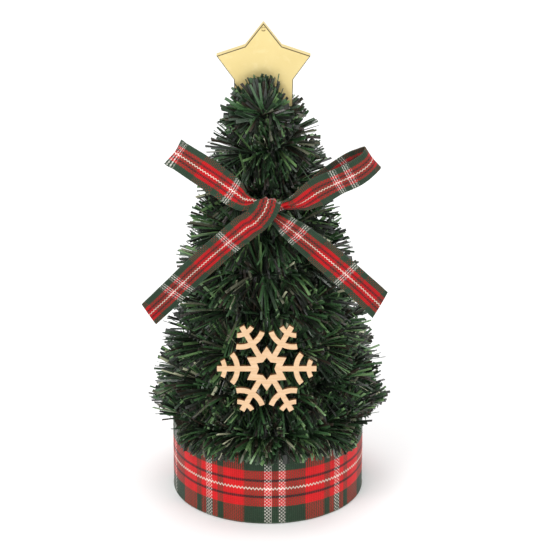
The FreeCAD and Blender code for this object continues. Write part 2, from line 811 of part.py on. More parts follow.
os.makedirs("parts", exist_ok=True)
for piece in PIECES:
    piece.Shape.exportStep("parts/%s.step" % piece.Label)
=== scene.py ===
# A table-top Christmas tree: a tinsel garland wound up a card cone, on a drum wrapped in tartan
# ribbon, with a tartan bow, a plywood snowflake and a gold star at the tip.
# The tree stands on z = 0 about the z axis; the front faces -y and +x is the viewer's right.
# Lengths are millimetres and are scaled to metres when a mesh is made.
import math

import bpy
import numpy as np
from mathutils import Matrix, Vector


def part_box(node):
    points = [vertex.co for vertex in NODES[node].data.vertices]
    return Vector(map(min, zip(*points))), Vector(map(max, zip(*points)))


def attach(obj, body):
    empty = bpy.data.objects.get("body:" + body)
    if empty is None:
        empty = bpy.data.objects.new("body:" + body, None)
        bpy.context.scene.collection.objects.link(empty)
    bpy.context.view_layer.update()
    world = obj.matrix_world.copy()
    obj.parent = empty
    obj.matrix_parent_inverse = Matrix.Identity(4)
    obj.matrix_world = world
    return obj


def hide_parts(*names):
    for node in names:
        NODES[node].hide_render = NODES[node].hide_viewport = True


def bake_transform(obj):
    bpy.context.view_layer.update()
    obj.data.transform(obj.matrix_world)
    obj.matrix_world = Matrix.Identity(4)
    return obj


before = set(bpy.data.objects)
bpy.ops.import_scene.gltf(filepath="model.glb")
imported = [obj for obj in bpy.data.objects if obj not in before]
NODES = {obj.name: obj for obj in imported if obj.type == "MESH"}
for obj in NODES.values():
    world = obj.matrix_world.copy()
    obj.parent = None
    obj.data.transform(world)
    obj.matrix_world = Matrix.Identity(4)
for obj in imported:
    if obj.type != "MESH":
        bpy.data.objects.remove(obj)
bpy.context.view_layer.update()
MM = 0.001
TAU = 2 * math.pi


# ------------------------------------------------------------------ places taken from the CAD
def box_mm(node):
    low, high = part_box(node)
    return np.array(low) * 1000.0, np.array(high) * 1000.0


cone_low, cone_high = box_mm("core_cone")
DECK_TOP = float(cone_low[2])
CONE_TOP = float(cone_high[2])
CONE_R = float(cone_high[0])
CONE_SLOPE = 0.21714  # radius lost per mm of height
DRUM_R = float(box_mm("drum_wall")[1][0])
ribbon_low, ribbon_high = box_mm("base_ribbon")
RIBBON_LOW, RIBBON_TOP = float(ribbon_low[2]), float(ribbon_high[2])
star_low, star_high = box_mm("star_front_shell")
STAR_X = float(star_low[0] + star_high[0]) / 2
DIMPLE_Z = float(star_high[2]) - 2.9  # centre of the moulded dimple below the star's top point, round which shade is painted
flake_low, flake_high = box_mm("snowflake")
FLAKE_CENTRE = (flake_low + flake_high) / 2
FLAKE_R = float(flake_high[0] - flake_low[0]) / 2
FLAKE_LEAN = math.radians(11.0)
knot_low, knot_high = box_mm("bow_knot")
KNOT = (knot_low + knot_high) / 2

# the tartan's weft repeats, mirrored, after this length (mm)
HALF_SETT = 36.4


# ------------------------------------------------------------------ mesh helpers
def new_mesh(name, verts, faces, materials, mat_index=None, smooth=True, sharp=None, weave=None):
    """A mesh object from corners (mm) and four-sided faces; sharp is an edge angle in degrees."""
    verts = np.asarray(verts, np.float32) * MM
    faces = np.asarray(faces, np.int32)
    mesh = bpy.data.meshes.new(name)
    mesh.vertices.add(len(verts))
    mesh.vertices.foreach_set("co", verts.ravel())
    mesh.loops.add(faces.size)
    mesh.loops.foreach_set("vertex_index", faces.ravel())
    mesh.polygons.add(len(faces))
    mesh.polygons.foreach_set("loop_start", np.arange(0, faces.size, 4, dtype=np.int32))
    mesh.polygons.foreach_set("loop_total", np.full(len(faces), 4, np.int32))
    for material in materials:
        mesh.materials.append(material)
    if mat_index is not None:
        mesh.polygons.foreach_set("material_index", np.asarray(mat_index, np.int32))
    mesh.update(calc_edges=True)
    mesh.validate()
    mesh.polygons.foreach_set("use_smooth", np.full(len(mesh.polygons), smooth))
    if weave is not None:
        attribute = mesh.attributes.new("weave", "FLOAT_VECTOR", "POINT")
        attribute.data.foreach_set("vector", np.asarray(weave, np.float32).ravel())
    if sharp is not None:
        mesh.set_sharp_from_angle(angle=math.radians(sharp))
    mesh.update()
    piece = bpy.data.objects.new(name, mesh)
    bpy.context.scene.collection.objects.link(piece)
    return piece


def stand_in(piece, node):
    """Let a piece ride with the tree in place of a CAD node."""
    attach(piece, "tree")
    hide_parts(node)


def unit(vectors):
    vectors = np.asarray(vectors, float)
    length = np.linalg.norm(vectors, axis=-1, keepdims=True)
    return vectors / np.maximum(length, 1e-12)


def square_to(vectors, axis):
    """The unit part of each vector that is at right angles to the axis."""
    return unit(vectors - axis * np.sum(vectors * axis, -1, keepdims=True))


def sheet_solid(grid, thickness):
    """Corners and faces of a closed thin body whose middle surface is the grid (n, m, 3)."""
    n, m, _ = grid.shape
    normal = unit(np.cross(np.gradient(grid, axis=0), np.gradient(grid, axis=1)))
    half = thickness[..., None] / 2
    top, bottom = grid + normal * half, grid - normal * half
    verts = np.concatenate([top.reshape(-1, 3), bottom.reshape(-1, 3)])
    index = np.arange(n * m).reshape(n, m)
    under = n * m
    a, b, c, d = index[:-1, :-1], index[1:, :-1], index[1:, 1:], index[:-1, 1:]
    first, last = index[:, 0], index[:, -1]
    start, end = index[0], index[-1]
    faces = [
        np.stack([a, b, c, d], -1).reshape(-1, 4),
        np.stack([a, d, c, b], -1).reshape(-1, 4) + under,
        np.stack([first[:-1], first[:-1] + under, first[1:] + under, first[1:]], -1),
        np.stack([last[:-1], last[1:], last[1:] + under, last[:-1] + under], -1),
        np.stack([start[:-1], start[1:], start[1:] + under, start[:-1] + under], -1),
        np.stack([end[:-1], end[:-1] + under, end[1:] + under, end[1:]], -1),
    ]
    return verts, np.concatenate(faces)


def ribbon_mesh(name, grid, thickness, material, along, across):
    """A ribbon round its middle surface; 'weave' holds the place along and across the cloth."""
    verts, faces = sheet_solid(grid, thickness)
    weave = np.stack([along, across, np.zeros_like(along)], -1).reshape(-1, 3)
    weave = np.concatenate([weave, weave])
    return new_mesh(name, verts, faces, [material], sharp=50, weave=weave)


def ball_angles(around, down, pole_gap):
    """Grids of the angle round a ball and the angle from its pole."""
    turn = np.linspace(0, 2 * np.pi, around, endpoint=False)
    polar = np.linspace(pole_gap, np.pi - pole_gap, down)
    return np.meshgrid(turn, polar, indexing="ij")


def ball_solid(grid, flip=False):
    """Corners and faces of a lump from its grid (around, down, 3), closed at both poles."""
    around, down, _ = grid.shape
    index = np.arange(around * down).reshape(around, down)
    beside = np.roll(index, -1, 0)
    faces = np.stack([index[:, :-1], beside[:, :-1], beside[:, 1:], index[:, 1:]], -1)
    pole = around * down
    caps = []
    for i in range(0, around, 2):
        j, k = (i + 1) % around, (i + 2) % around
        caps.append([pole, index[k, 0], index[j, 0], index[i, 0]])
        caps.append([pole + 1, index[i, -1], index[j, -1], index[k, -1]])
    faces = np.concatenate([faces.reshape(-1, 4), np.array(caps)])
    if flip:
        faces = faces[:, [0, 3, 2, 1]]
    poles = np.array([grid[:, 0].mean(0), grid[:, -1].mean(0)])
    return np.concatenate([grid.reshape(-1, 3), poles]), faces


def join_solids(solids):
    """One list of corners and faces from several (corners, faces) pairs."""
    all_verts, all_faces, offset = [], [], 0
    for verts, faces in solids:
        all_verts.append(verts)
        all_faces.append(faces + offset)
        offset += len(verts)
    return np.concatenate(all_verts), np.concatenate(all_faces)


def between(place, start, end, value_start, value_end):
    span = end - start
    return (end - place) / span * value_start + (place - start) / span * value_end


def smooth_run(points, count):
    """Catmull-Rom run through rows of numbers, sampled at even steps of the length of its
    first three columns. Returns the samples and their distance along the run."""
    points = np.asarray(points, float)
    steps = np.linalg.norm(np.diff(points[:, :3], axis=0), axis=1)
    knots = np.concatenate([[0], np.cumsum(np.sqrt(np.maximum(steps, 1e-6)))])
    before, after = knots[0] - (knots[1] - knots[0]), knots[-1] + (knots[-1] - knots[-2])
    knots = np.concatenate([[before], knots, [after]])
    padded = np.vstack([2 * points[0] - points[1], points, 2 * points[-1] - points[-2]])
    fine = []
    for i in range(len(points) - 1):
        knot, point = knots[i : i + 4], padded[i : i + 4]
        place = np.linspace(knot[1], knot[2], 40, endpoint=False)[:, None]
        legs = [between(place, knot[k], knot[k + 1], point[k], point[k + 1]) for k in range(3)]
        bends = [between(place, knot[k], knot[k + 2], legs[k], legs[k + 1]) for k in range(2)]
        fine.append(between(place, knot[1], knot[2], bends[0], bends[1]))
    fine = np.vstack(fine + [points[-1:]])
    lengths = np.linalg.norm(np.diff(fine[:, :3], axis=0), axis=1)
    distance = np.concatenate([[0], np.cumsum(lengths)])
    run = np.linspace(0, distance[-1], count)
    columns = [np.interp(run, distance, fine[:, c]) for c in range(fine.shape[1])]
    return np.stack(columns, -1), run


# ------------------------------------------------------------------ shader helpers
def srgb(red, green, blue):
    def linear(value):
        value = value / 255.0
        return value / 12.92 if value <= 0.04045 else ((value + 0.055) / 1.055) ** 2.4

    return (linear(red), linear(green), linear(blue), 1.0)


class Net:
    """A node material; its methods add nodes and return their output sockets."""

    def __init__(self, name):
        self.mat = bpy.data.materials.new(name)
        self.mat.use_nodes = True
        self.tree = self.mat.node_tree
        self.bsdf = [node for node in self.tree.nodes if node.type == "BSDF_PRINCIPLED"][0]

    def put(self, socket, value):
        if isinstance(value, bpy.types.NodeSocket):
            self.tree.links.new(value, socket)
        else:
            socket.default_value = value

    def calc(self, operation, first, second=None, clamp=False):
        node = self.tree.nodes.new("ShaderNodeMath")
        node.operation = operation
        node.use_clamp = clamp
        self.put(node.inputs[0], first)
        if second is not None:
            self.put(node.inputs[1], second)
        return node.outputs[0]

    def add(self, first, second, clamp=False):
        return self.calc("ADD", first, second, clamp)

    def sub(self, first, second):
        return self.calc("SUBTRACT", first, second)

    def mul(self, first, second, clamp=False):
        return self.calc("MULTIPLY", first, second, clamp)

    def sine(self, value):
        return self.calc("SINE", value)

    def absolute(self, value):
        return self.calc("ABSOLUTE", value)

    def mix(self, factor, first, second):
        node = self.tree.nodes.new("ShaderNodeMix")
        node.data_type = "RGBA"
        self.put(node.inputs["Factor"], factor)
        self.put(node.inputs[6], first)
        self.put(node.inputs[7], second)
        return node.outputs[2]

    def ramp(self, value, low, high, at_low=0.0, at_high=1.0):
        """Clamped straight ramp from at_low to at_high."""
        node = self.tree.nodes.new("ShaderNodeMapRange")
        node.clamp = True
        self.put(node.inputs["Value"], value)
        node.inputs["From Min"].default_value = low
        node.inputs["From Max"].default_value = high
        node.inputs["To Min"].default_value = at_low
        node.inputs["To Max"].default_value = at_high
        return node.outputs["Result"]

    def band(self, value, low, high, soft):
        """1 where low < value < high."""
        rise = self.ramp(value, low - soft, low + soft)
        fall = self.ramp(value, high - soft, high + soft, 1.0, 0.0)
        return self.mul(rise, fall)

    def attribute(self, name):
        node = self.tree.nodes.new("ShaderNodeAttribute")
        node.attribute_name = name
        return node.outputs["Vector"]

    def position(self):
        return self.tree.nodes.new("ShaderNodeTexCoord").outputs["Object"]

    def normal(self):
        return self.tree.nodes.new("ShaderNodeNewGeometry").outputs["Normal"]

    def split(self, vector):
        node = self.tree.nodes.new("ShaderNodeSeparateXYZ")
        self.put(node.inputs[0], vector)
        return node.outputs[0], node.outputs[1], node.outputs[2]

    def join(self, x, y, z):
        node = self.tree.nodes.new("ShaderNodeCombineXYZ")
        for i, value in enumerate((x, y, z)):
            self.put(node.inputs[i], value)
        return node.outputs[0]

    def scale(self, vector, factors):
        node = self.tree.nodes.new("ShaderNodeVectorMath")
        node.operation = "MULTIPLY"
        self.put(node.inputs[0], vector)
        node.inputs[1].default_value = factors
        return node.outputs[0]

    def noise(self, vector, scale, detail, rough=0.55):
        node = self.tree.nodes.new("ShaderNodeTexNoise")
        self.put(node.inputs["Vector"], vector)
        node.inputs["Scale"].default_value = scale
        node.inputs["Detail"].default_value = detail
        node.inputs["Roughness"].default_value = rough
        return node.outputs["Fac"]

    def bump(self, height, strength, distance):
        node = self.tree.nodes.new("ShaderNodeBump")
        node.inputs["Strength"].default_value = strength
        node.inputs["Distance"].default_value = distance
        self.put(node.inputs["Height"], height)
        self.tree.links.new(node.outputs["Normal"], self.bsdf.inputs["Normal"])

    def set(self, **values):
        for key, value in values.items():
            self.put(self.bsdf.inputs[key.replace("_", " ")], value)


# ------------------------------------------------------------------ tartan
GREEN = srgb(38, 60, 42)
DARK = srgb(24, 22, 26)
WHITE = srgb(240, 234, 224)


def tartan(
    name, *, red, sett_scale, half_width, thread, chain_pitch, line_half, green_on_red,
    red_on_green, white_cover, white_dots, dark_stripe, dark_dots, selvedge_pale, dot_pitch,
    white_lines, grain,
):
    """Woven tartan ribbon on the 'weave' attribute: x along the ribbon, y across it, in mm.

    sett_scale: stretch of the sett over the width; half_width: half the ribbon's width
    thread: rib spacing; chain_pitch, line_half: wave and half width of the centre line
    green_on_red, red_on_green, white_cover: how much weft shows over the warp
    white_dots, dot_pitch: how strongly and how finely white breaks into dots
    white_lines: how much white runs together into lines across the ribbon
    dark_stripe, dark_dots: limits of the dark stripes and how dotted they are
    selvedge_pale: how much paler the edge is; grain: how strongly the threads break into dots
    """
    net = Net(name)
    along, across, _ = net.split(net.attribute("weave"))
    wobble = net.noise(net.join(along, across, 0.0), scale=0.35, detail=2.0)
    weft_place = net.add(along, net.mul(net.sub(wobble, 0.5), 0.5))
    warp_place = net.add(across, net.mul(net.sub(wobble, 0.5), 0.35))
    warp_place = net.mul(warp_place, sett_scale)
    rib_phase = net.mul(along, TAU / thread)
    grid_phase = net.mul(across, TAU / (thread * 0.92))
    ribs = net.sine(rib_phase)
    check = net.mul(
        net.sine(net.mul(along, TAU / dot_pitch)), net.sine(net.mul(across, TAU / dot_pitch))
    )
    rows = net.sine(net.mul(along, TAU / 1.24))
    twill = net.sine(net.add(rib_phase, grid_phase))
    grid = net.sine(grid_phase)

    # warp: stripes that run along the ribbon
    from_centre = net.absolute(warp_place)
    red_warp = net.band(from_centre, -1.0, 10.1, soft=0.25)
    warp = net.mix(red_warp, GREEN, red)
    dark_line = net.band(from_centre, *dark_stripe, soft=0.3)
    dark_line = net.mul(dark_line, net.ramp(check, -0.5, 0.5, 1.0 - dark_dots, 1.0))
    warp = net.mix(dark_line, warp, DARK)

    # weft: one period, mirrored about the double white
    period = net.calc("PINGPONG", weft_place, HALF_SETT)
    red_weft = net.add(
        net.band(period, 16.3, 27.6, soft=0.3), net.band(period, 31.2, 34.5, soft=0.3), clamp=True
    )
    whites = net.add(
        net.band(period, 1.75, 5.45, soft=0.2), net.band(period, 34.5, 37.5, soft=0.2), clamp=True
    )
    weft = net.mix(red_weft, GREEN, red)
    weft = net.mix(whites, weft, WHITE)

    # how much of the weft shows at each crossing, broken into threads
    same = net.sub(1.0, net.mul(net.absolute(net.sub(red_warp, red_weft)), 1.0))
    over = net.add(
        net.mul(net.mul(red_warp, net.sub(1.0, red_weft)), green_on_red),
        net.mul(net.mul(net.sub(1.0, red_warp), red_weft), red_on_green),
    )
    over = net.add(over, net.mul(same, 0.3))
    over = net.mul(over, net.sub(1.0, net.mul(dark_line, 0.85)))
    over = net.add(over, net.mul(ribs, 0.27))
    over = net.add(over, net.mul(check, grain))
    over = net.add(over, net.mul(twill, 0.10), clamp=True)
    dots = net.add(
        net.mul(net.sub(1.0, net.mul(red_warp, 0.25)), white_cover), net.mul(ribs, 0.12)
    )
    dots = net.add(dots, net.mul(rows, white_lines))
    dots = net.add(dots, net.mul(check, white_dots), clamp=True)
    cloth = net.mix(net.mix(whites, over, dots), warp, weft)

    # thread shading: dark gaps between the ribs
    gap = net.ramp(net.add(ribs, net.mul(grid, 0.6)), -1.5, 0.5, at_low=0.44, at_high=0.0)
    gap = net.mul(gap, net.sub(1.0, net.mul(red_weft, 0.35)))
    cloth = net.mix(gap, cloth, srgb(18, 16, 14))

    # centre line woven as a fine chain
    saw = net.calc("PINGPONG", along, chain_pitch)
    shift = net.mul(net.sub(net.calc("DIVIDE", saw, chain_pitch), 0.5), line_half * 2.5)
    from_line = net.absolute(net.add(net.mul(across, 1.0), shift))
    line = net.band(from_line, -1.0, line_half, soft=line_half * 0.35)
    links = net.sine(net.mul(along, TAU / chain_pitch))
    line = net.mul(line, net.ramp(links, -1.0, 0.2, at_low=0.4, at_high=1.0), clamp=True)
    cloth = net.mix(line, cloth, net.mix(whites, srgb(214, 206, 190), srgb(246, 240, 230)))

    # selvedge: a tight, slightly paler edge thread
    selvedge = net.band(from_centre, (half_width - 0.5) * sett_scale, 30.0, soft=0.25)
    cloth = net.mix(net.mul(selvedge, selvedge_pale), cloth, srgb(84, 100, 80))

    # dark blotches and pale lint
    place = net.position()
    blotch = net.noise(place, scale=110.0, detail=3.0)
    cloth = net.mix(net.ramp(blotch, 0.35, 0.75, 0.0, 0.25), cloth, srgb(16, 12, 10))
    lint = net.noise(place, scale=3200.0, detail=1.0)
    cloth = net.mix(net.ramp(lint, 0.6, 0.85, 0.0, 0.07), cloth, WHITE)
    net.set(
        Base_Color=cloth,
        Roughness=net.ramp(lint, 0.2, 0.8, 0.5, 0.7),
        Specular_IOR_Level=0.16,
        Sheen_Weight=0.06,
        Sheen_Roughness=0.45,
    )
    height = net.add(net.mul(ribs, 0.6), net.mul(twill, 0.4))
    height = net.add(height, net.mul(selvedge, 1.0))
    net.bump(height, strength=0.5, distance=0.00012)
    return net.mat


tartan_wide = tartan(
    "tartan_wide", red=srgb(214, 20, 26), sett_scale=1.0, half_width=19.8, thread=1.1,
    chain_pitch=0.95, line_half=0.42, green_on_red=0.50, red_on_green=0.26, white_cover=0.19,
    white_dots=0.50, dark_stripe=(3.85, 5.45), dark_dots=0.15, selvedge_pale=0.4, dot_pitch=1.9,
    white_lines=0.0, grain=0.14,
)
tartan_narrow = tartan(
    "tartan_narrow", red=srgb(180, 9, 16), sett_scale=2.32, half_width=7.5, thread=0.9,
    chain_pitch=0.8, line_half=0.26, green_on_red=0.42, red_on_green=-0.06, white_cover=0.14,
    white_dots=0.2, dark_stripe=(3.9, 6.5), dark_dots=0.4, selvedge_pale=0.12, dot_pitch=1.75,
    white_lines=0.3, grain=0.34,
)


# ------------------------------------------------------------------ other materials
def film(name, colour, rough):
    """Glossy plastic film of the garland, with slight streaks along z."""
    net = Net(name)
    stretched = net.scale(net.position(), (900.0, 900.0, 160.0))
    streak = net.noise(stretched, scale=1.0, detail=2.0)
    net.set(
        Base_Color=colour,
        Roughness=net.ramp(streak, 0.25, 0.75, rough - 0.12, rough + 0.14),
        Specular_IOR_Level=0.55,
        Coat_Weight=0.25,
        Coat_Roughness=0.22,
    )
    net.bump(streak, strength=0.25, distance=0.0001)
    return net.mat


# name, colour, roughness, share of the strips
FILMS = [
    ("film_black_green", srgb(28, 33, 26), 0.38, 0.28),
    ("film_deep_green", srgb(36, 57, 36), 0.33, 0.25),
    ("film_green", srgb(60, 93, 57), 0.31, 0.20),
    ("film_fresh_green", srgb(108, 142, 90), 0.31, 0.085),
    ("film_brown_black", srgb(48, 40, 32), 0.33, 0.12),
    # the pale and the grey strips are painted highlights: glints of the glossy film given as
    # strips of a light colour
    ("film_painted_glint", srgb(190, 192, 160), 0.3, 0.016),
    ("film_grey_painted_highlight", srgb(96, 98, 80), 0.28, 0.04),
]
film_mats = [film(name, colour, rough) for name, colour, rough, _ in FILMS]


def grainy(name, first, second, scale, rough, bump=0.2, metallic=0.0, stretch=(1, 1, 1)):
    """A surface that wanders between two colours."""
    net = Net(name)
    grain = net.noise(net.scale(net.position(), stretch), scale=scale, detail=4.0)
    net.set(
        Base_Color=net.mix(net.ramp(grain, 0.3, 0.7), first, second),
        Roughness=net.ramp(grain, 0.2, 0.8, rough - 0.08, rough + 0.08),
        Metallic=metallic,
    )
    net.bump(grain, strength=bump, distance=0.0002)
    return net.mat


def hot_glue():
    net = Net("hot_glue")
    cloud = net.noise(net.position(), scale=400.0, detail=3.0)
    net.set(
        Base_Color=net.mix(cloud, srgb(232, 226, 204), srgb(206, 198, 170)),
        Roughness=net.ramp(cloud, 0.3, 0.7, 0.18, 0.35),
        Subsurface_Weight=0.15,
    )
    net.bump(cloud, strength=0.2, distance=0.0003)
    return net.mat


def gold():
    net = Net("gold_face")
    place = net.position()
    _, normal_y, _ = net.split(net.normal())
    # painted shade: the narrow edge bevel, found by the angle of its face, is darkened into a
    # dark line round the bright face
    edge = net.band(net.absolute(normal_y), 0.25, 0.93, soft=0.03)
    grain = net.noise(net.scale(place, (1.0, 1.0, 1.0)), scale=260.0, detail=4.0)
    cloud = net.noise(place, scale=45.0, detail=2.0)
    colour = net.mix(net.ramp(cloud, 0.3, 0.7), srgb(223, 204, 144), srgb(216, 195, 132))
    # painted highlight: pale glints on the foil where the grain is high
    colour = net.mix(net.ramp(grain, 0.55, 0.8, 0.0, 0.25), colour, srgb(250, 236, 190))
    # painted shade on the edge bevel
    colour = net.mix(net.mul(edge, 0.95), colour, srgb(60, 44, 12))
    # painted shade: a dark ring at the rim of the small round moulded dimple near the top point,
    # open at both sides, on the front only
    x, y, z = net.split(place)
    dimple_dx = net.mul(net.sub(x, STAR_X * MM), 1000.0)
    dimple_dz = net.mul(net.sub(z, DIMPLE_Z * MM), 1000.0)
    away = net.calc("SQRT", net.add(net.mul(dimple_dx, dimple_dx), net.mul(dimple_dz, dimple_dz)))
    painted_dimple_shade = net.mul(net.band(away, 0.78, 1.22, soft=0.12), net.ramp(y, -0.001, 0.0, 1.0, 0.0))
    painted_dimple_shade = net.mul(painted_dimple_shade, net.ramp(net.absolute(dimple_dz), 0.35, 0.6))
    colour = net.mix(net.mul(painted_dimple_shade, 0.8), colour, srgb(110, 88, 40))
    net.set(
        Base_Color=colour,
        Metallic=0.35,
        Roughness=net.ramp(grain, 0.3, 0.7, 0.4, 0.52),
        Specular_IOR_Level=0.5,
    )
    net.bump(grain, strength=0.15, distance=0.0001)
    return net.mat


def plywood():
    net = Net("plywood")
    place = net.position()
    _, normal_y, normal_z = net.split(net.normal())
    # faces look along the lean; everything else is a dark cut edge
    facing = net.absolute(
        net.add(
            net.mul(normal_y, -math.cos(FLAKE_LEAN)), net.mul(normal_z, math.sin(FLAKE_LEAN))
        )
    )
    is_edge = net.ramp(facing, 0.5, 0.8, 1.0, 0.0)
    stretched = net.scale(place, (120.0, 900.0, 900.0))
    grain = net.noise(stretched, scale=1.0, detail=4.0, rough=0.6)
    rings = net.sine(net.add(net.mul(net.split(place)[2], 2600.0), net.mul(grain, 9.0)))
    colour = net.mix(net.ramp(grain, 0.3, 0.7), srgb(214, 182, 148), srgb(199, 164, 126))
    colour = net.mix(net.ramp(rings, 0.4, 1.0, 0.0, 0.18), colour, srgb(190, 144, 94))
    fleck = net.noise(place, scale=1500.0, detail=2.0)
    colour = net.mix(net.ramp(fleck, 0.62, 0.8, 0.0, 0.35), colour, srgb(176, 126, 80))
    # plies 1.1 mm apart through the leaning board
    depth = net.add(net.split(place)[1], net.mul(net.split(place)[2], 0.19))
    plies = net.sine(net.mul(depth, TAU / 0.0011))
    edge_colour = net.mix(net.ramp(plies, -0.3, 0.6), srgb(96, 62, 36), srgb(140, 98, 60))
    net.set(
        Base_Color=net.mix(is_edge, colour, edge_colour),
        Roughness=net.ramp(grain, 0.2, 0.8, 0.55, 0.75),
        Specular_IOR_Level=0.25,
    )
    net.bump(grain, strength=0.3, distance=0.00015)
    return net.mat


card = grainy("grey_board", srgb(158, 134, 104), srgb(134, 110, 84), scale=900.0, rough=0.85)
# dark green card: partly the cone's own colour, partly painted shade in the gaps between the
# strips
green_card = grainy("green_board", srgb(18, 30, 20), srgb(28, 46, 30), scale=700.0, rough=0.8)
felt = grainy("felt", srgb(34, 34, 36), srgb(58, 58, 60), scale=2500.0, rough=0.95, bump=0.6)
plaster = grainy(
    "plaster", srgb(216, 211, 200), srgb(196, 190, 178), scale=500.0, rough=0.9, bump=0.3
)
timber = grainy(
    "timber", srgb(205, 168, 120), srgb(178, 138, 92), scale=60.0, rough=0.6, bump=0.25,
    stretch=(14, 14, 1),
)
wire_mat = grainy(
    "core_wire", srgb(28, 40, 28), srgb(60, 66, 56), scale=1200.0, rough=0.4, metallic=0.6
)
glue_mat = hot_glue()
gold_mat = gold()
ply_mat = plywood()
deck_card = grainy("deck_card", srgb(44, 40, 30), srgb(60, 52, 38), scale=300.0, rough=0.8)

CAD_LOOKS = {
    "felt_pad": felt,
    "drum_floor": card,
    "drum_wall": card,
    "drum_deck": deck_card,
    "ballast_disc": plaster,
    "trunk_dowel": timber,
    "core_cone": green_card,
    "cone_seat_ring": card,
    "apex_plug": timber,
    "star_front_shell": gold_mat,
    "star_back_shell": gold_mat,
    "star_pick": timber,
    "snowflake": ply_mat,
}
for node_name, look in CAD_LOOKS.items():
    slots = NODES[node_name].data.materials
    slots.clear()
    slots.append(look)

# ------------------------------------------------------------------ arms of the bow
# line of sight: one step back from the viewer, who looks down from the front
RAY = np.array([0.0, 1.0, -0.4193])


class Arm:
    """Axes of one ribbon arm from the knot's centre: u outwards and w across it.
    side is -1 for the left and 1 for the right, degrees the rise above level.
    lean is 1 where the ribbon's upper edge lies farther back and -1 where the lower does."""

    def __init__(self, side, degrees, lean):
        angle = math.radians(degrees)
        self.out = np.array([side * math.cos(angle), 0.0, math.sin(angle)])
        self.across = np.array([-side * math.sin(angle), 0.0, math.cos(angle)])
        self.lean = lean

    def at(self, u, w, behind):
        return KNOT + np.array([0, 0.5, 0]) + u * self.out + w * self.across + behind * RAY

    def local(self, points):
        offset = points - KNOT
        return offset @ self.out, offset @ self.across, offset[..., 1]


LEFT_LOOP = Arm(side=-1, degrees=33.0, lean=1)
RIGHT_LOOP = Arm(side=1, degrees=31.5, lean=-1)
LEFT_TAIL = Arm(side=-1, degrees=-42.5, lean=-1)
RIGHT_TAIL = Arm(side=1, degrees=-40.0, lean=-1)


# ------------------------------------------------------------------ where no film strip may go
def xyz(points):
    return points[..., 0], points[..., 1], points[..., 2]


# the star's lower outline: distance from its middle, height
STAR_UNDERSIDE = np.array([(0.0, 215.5), (14.6, 211.0), (14.95, 226.0), (23.7, 238.6)])


def blocked_by_star(points):
    """Space the star fills now or on its way up and out."""
    across, depth, z = np.abs(points[..., 0] - STAR_X), np.abs(points[..., 1]), points[..., 2]
    low = np.interp(across, STAR_UNDERSIDE[:, 0], STAR_UNDERSIDE[:, 1])
    return (depth < 3.1) & (across < 25.4) & (z > low - 0.7)


def blocked_by_pick(points):
    x, y, z = xyz(points)
    return (np.abs(x) < 2.7) & (np.abs(y) < 1.7) & (z > CONE_TOP - 2)


def blocked_by_drum(points):
    x, y, z = xyz(points)
    return ((z < DECK_TOP + 0.35) & (np.hypot(x, y) < DRUM_R + 1.4)) | (z < 1.0)


def blocked_by_cone(points):
    x, y, z = xyz(points)
    return (np.hypot(x, y) < CONE_R - CONE_SLOPE * (z - DECK_TOP) + 0.1) & (z < CONE_TOP)


def blocked_by_flake(points):
    """The leaning disc round the snowflake and all the space in front of it."""
    offset = points - FLAKE_CENTRE
    up = offset @ np.array([0.0, math.sin(FLAKE_LEAN), math.cos(FLAKE_LEAN)])
    depth = offset @ np.array([0.0, -math.cos(FLAKE_LEAN), math.sin(FLAKE_LEAN)]) + 1.5
    return (np.hypot(offset[..., 0], up) < FLAKE_R + 1.2) & (depth > -0.5)


# arm, reach along it, lowest and highest place across it, how far back it blocks
BOW_SPACE = [
    (LEFT_LOOP, 60, -9.8, 9.6, 4.6),
    (RIGHT_LOOP, 62, -12.6, 9.0, 11.0),
    (LEFT_TAIL, 88, -9.0, 10.5, 4.5),
    (RIGHT_TAIL, 82, -12.0, 8.5, 4.5),
]


def blocked_by_bow(points):
    hit = np.zeros(points.shape[:-1], bool)
    for arm, reach, low, high, back in BOW_SPACE:
        out, across, y = arm.local(points)
        deep = np.where(out < 12, 5.0, back)
        hit |= (out > -3) & (out < reach) & (across > low) & (across < high) & (y < deep)
    x, y, z = xyz(points - KNOT)
    hit |= (np.hypot(x, z) < 10.5) & (y < 5.2)
    return hit


# half width left for the strips, by height in the view from the front (see outside_outline)
SKIRT_HEIGHT = [11.8, 14.3, 16.8, 19.8, 25.0, 31.0, 42.0, 46.0]
SKIRT_HALF_WIDTH = [-1.0, 29.0, 40.0, 45.5, 48.0, 50.0, 60.5, 64.0]


def outside_outline(points):
    """Where no strip reaches: beside the star's legs, and low down at the sides of the drum."""
    x, y, z = xyz(points)
    in_front = (z > 217.0) & (y < -9.5) & (y > -30.0)
    high = (z > 213.0) & ((np.hypot(x + 3.0, y) > 15.5) | (z > 231.0) | in_front)
    shoulder = (z > 208.0) & (z <= 213.0) & (np.hypot(x, y) > 22.5)
    height_in_view = z * 0.922 + y * 0.387
    half_width = np.interp(height_in_view, SKIRT_HEIGHT, SKIRT_HALF_WIDTH)
    low = (z < 29.0) | ((z < 50.0) & (np.abs(x) > half_width))
    return high | shoulder | low


def in_the_way(points):
    return (
        blocked_by_star(points)
        | blocked_by_pick(points)
        | blocked_by_drum(points)
        | blocked_by_cone(points)
        | blocked_by_flake(points)
        | blocked_by_bow(points)
    )


def blocked(points):
    return outside_outline(points) | in_the_way(points)


# ------------------------------------------------------------------ path of the garland
PITCH = 20.6  # rise per turn
FIRST_ROW_Z = 46.2  # height where turn 0 passes the front
WIRE_OFF = 1.2  # wire centre off the cone
TURN_START, TURN_END = -0.85, 8.28


